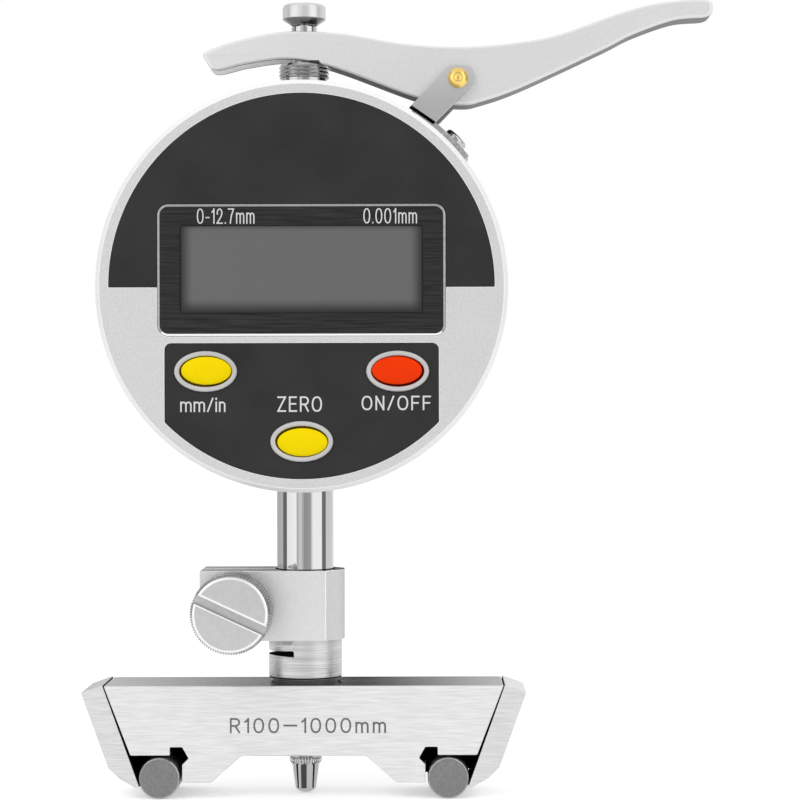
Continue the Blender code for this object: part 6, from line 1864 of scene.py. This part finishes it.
def floor():
    near, far = ([(x, y, 0.0) for x in (-FLOOR_HALF, FLOOR_HALF)] for y in (-FLOOR_HALF, FLOOR_HALF))
    ground = strip("floor", near, far)
    material = bpy.data.materials.new("floor")
    material.use_nodes = True
    tree = material.node_tree
    shader = tree.nodes["Principled BSDF"]
    fill(shader, Base_Color=FLOOR_GREY, Roughness=FLOOR_ROUGH, Specular_IOR_Level=0.0, Emission_Color=WHITE)
    tree.links.new(seen(tree, FLOOR_GLOW), shader.inputs["Emission Strength"])
    ground.data.materials.append(material)


def studio():
    """A plain white room, whose light on rough surfaces is a little softer than its look."""
    world = bpy.data.worlds.new("studio")
    bpy.context.scene.world = world
    world.use_nodes = True
    world.cycles.sampling_method = "NONE"
    tree = world.node_tree
    background = fill(tree.nodes["Background"], Color=WHITE)
    level = maths(tree, "ADD", seen(tree, 1.0 - ROOM_LEVEL), ROOM_LEVEL)
    tree.links.new(level, background.inputs["Strength"])


def card(name, start, end, first, last, edges):
    """A card that only reflections see. Its own plain light goes from first to last."""
    turns = (start * DEG - QUARTER_TURN, end * DEG - QUARTER_TURN)
    rows = []
    for radius, height in edges:
        rows.append([(x, y, height) for x, y in arc(radius, *turns, CARD_STEPS, AXIS.x, AXIS.y)])
    panel = strip(name, *rows)
    levels = [first + (last - first) * i / CARD_STEPS for i in range(CARD_STEPS + 1)]
    panel.data.attributes.new("level", "FLOAT", "POINT").data.foreach_set("value", levels * 2)
    material = bpy.data.materials.new(name)
    material.use_nodes = True
    material.cycles.emission_sampling = "NONE"
    tree = material.node_tree
    tree.nodes.clear()
    shade = tree.nodes.new("ShaderNodeAttribute")
    shade.attribute_name = "level"
    glow = tree.nodes.new("ShaderNodeEmission")
    tree.links.new(shade.outputs["Fac"], glow.inputs["Strength"])
    tree.links.new(glow.outputs["Emission"], tree.nodes.new("ShaderNodeOutputMaterial").inputs["Surface"])
    panel.data.materials.append(material)
    panel.visible_camera = False
    panel.visible_diffuse = False
    panel.visible_transmission = False
    panel.visible_shadow = False


def lamp(name, spot, size, watts):
    """A soft lamp that faces the middle of the gauge."""
    light = bpy.data.lights.new(name, "AREA")
    light.shape = "DISK"
    light.size = size
    light.energy = watts
    obj = bpy.data.objects.new(name, light)
    obj.location = spot
    aim = Vector((0.0, 0.0, CASE_CENTRE)) - Vector(spot)
    obj.rotation_euler = aim.to_track_quat("-Z", "Y").to_euler()
    obj.visible_glossy = False
    bpy.context.scene.collection.objects.link(obj)


CAMERA_SPOT = (17.0 * MM, -370.0 * MM, 55.7 * MM)
CAMERA_ROLL = 0.12 * DEG
CAMERA_SHIFT = -0.0309
CAMERA_NEAR = 0.01
CAMERA_PIXELS = 2605.0
PHOTO_PIXELS = 800.0
SENSOR = 36.0


def camera():
    data = bpy.data.cameras.new("camera")
    data.sensor_width = SENSOR
    data.lens = CAMERA_PIXELS * SENSOR / PHOTO_PIXELS
    data.shift_x = CAMERA_SHIFT
    data.clip_start = CAMERA_NEAR
    obj = bpy.data.objects.new("camera", data)
    obj.location = AXIS + Vector(CAMERA_SPOT)
    obj.rotation_euler = (QUARTER_TURN, CAMERA_ROLL, 0.0)
    bpy.context.scene.collection.objects.link(obj)
    bpy.context.scene.camera = obj


camera()
put_base()
put_indicator()
put_plunger_and_lever()
put_lettering()
dress_solids()
floor()
studio()
for row in CARDS:
    card(*row)
for row in LAMPS:
    lamp(*row)
bpy.context.scene.view_settings.view_transform = "Standard"
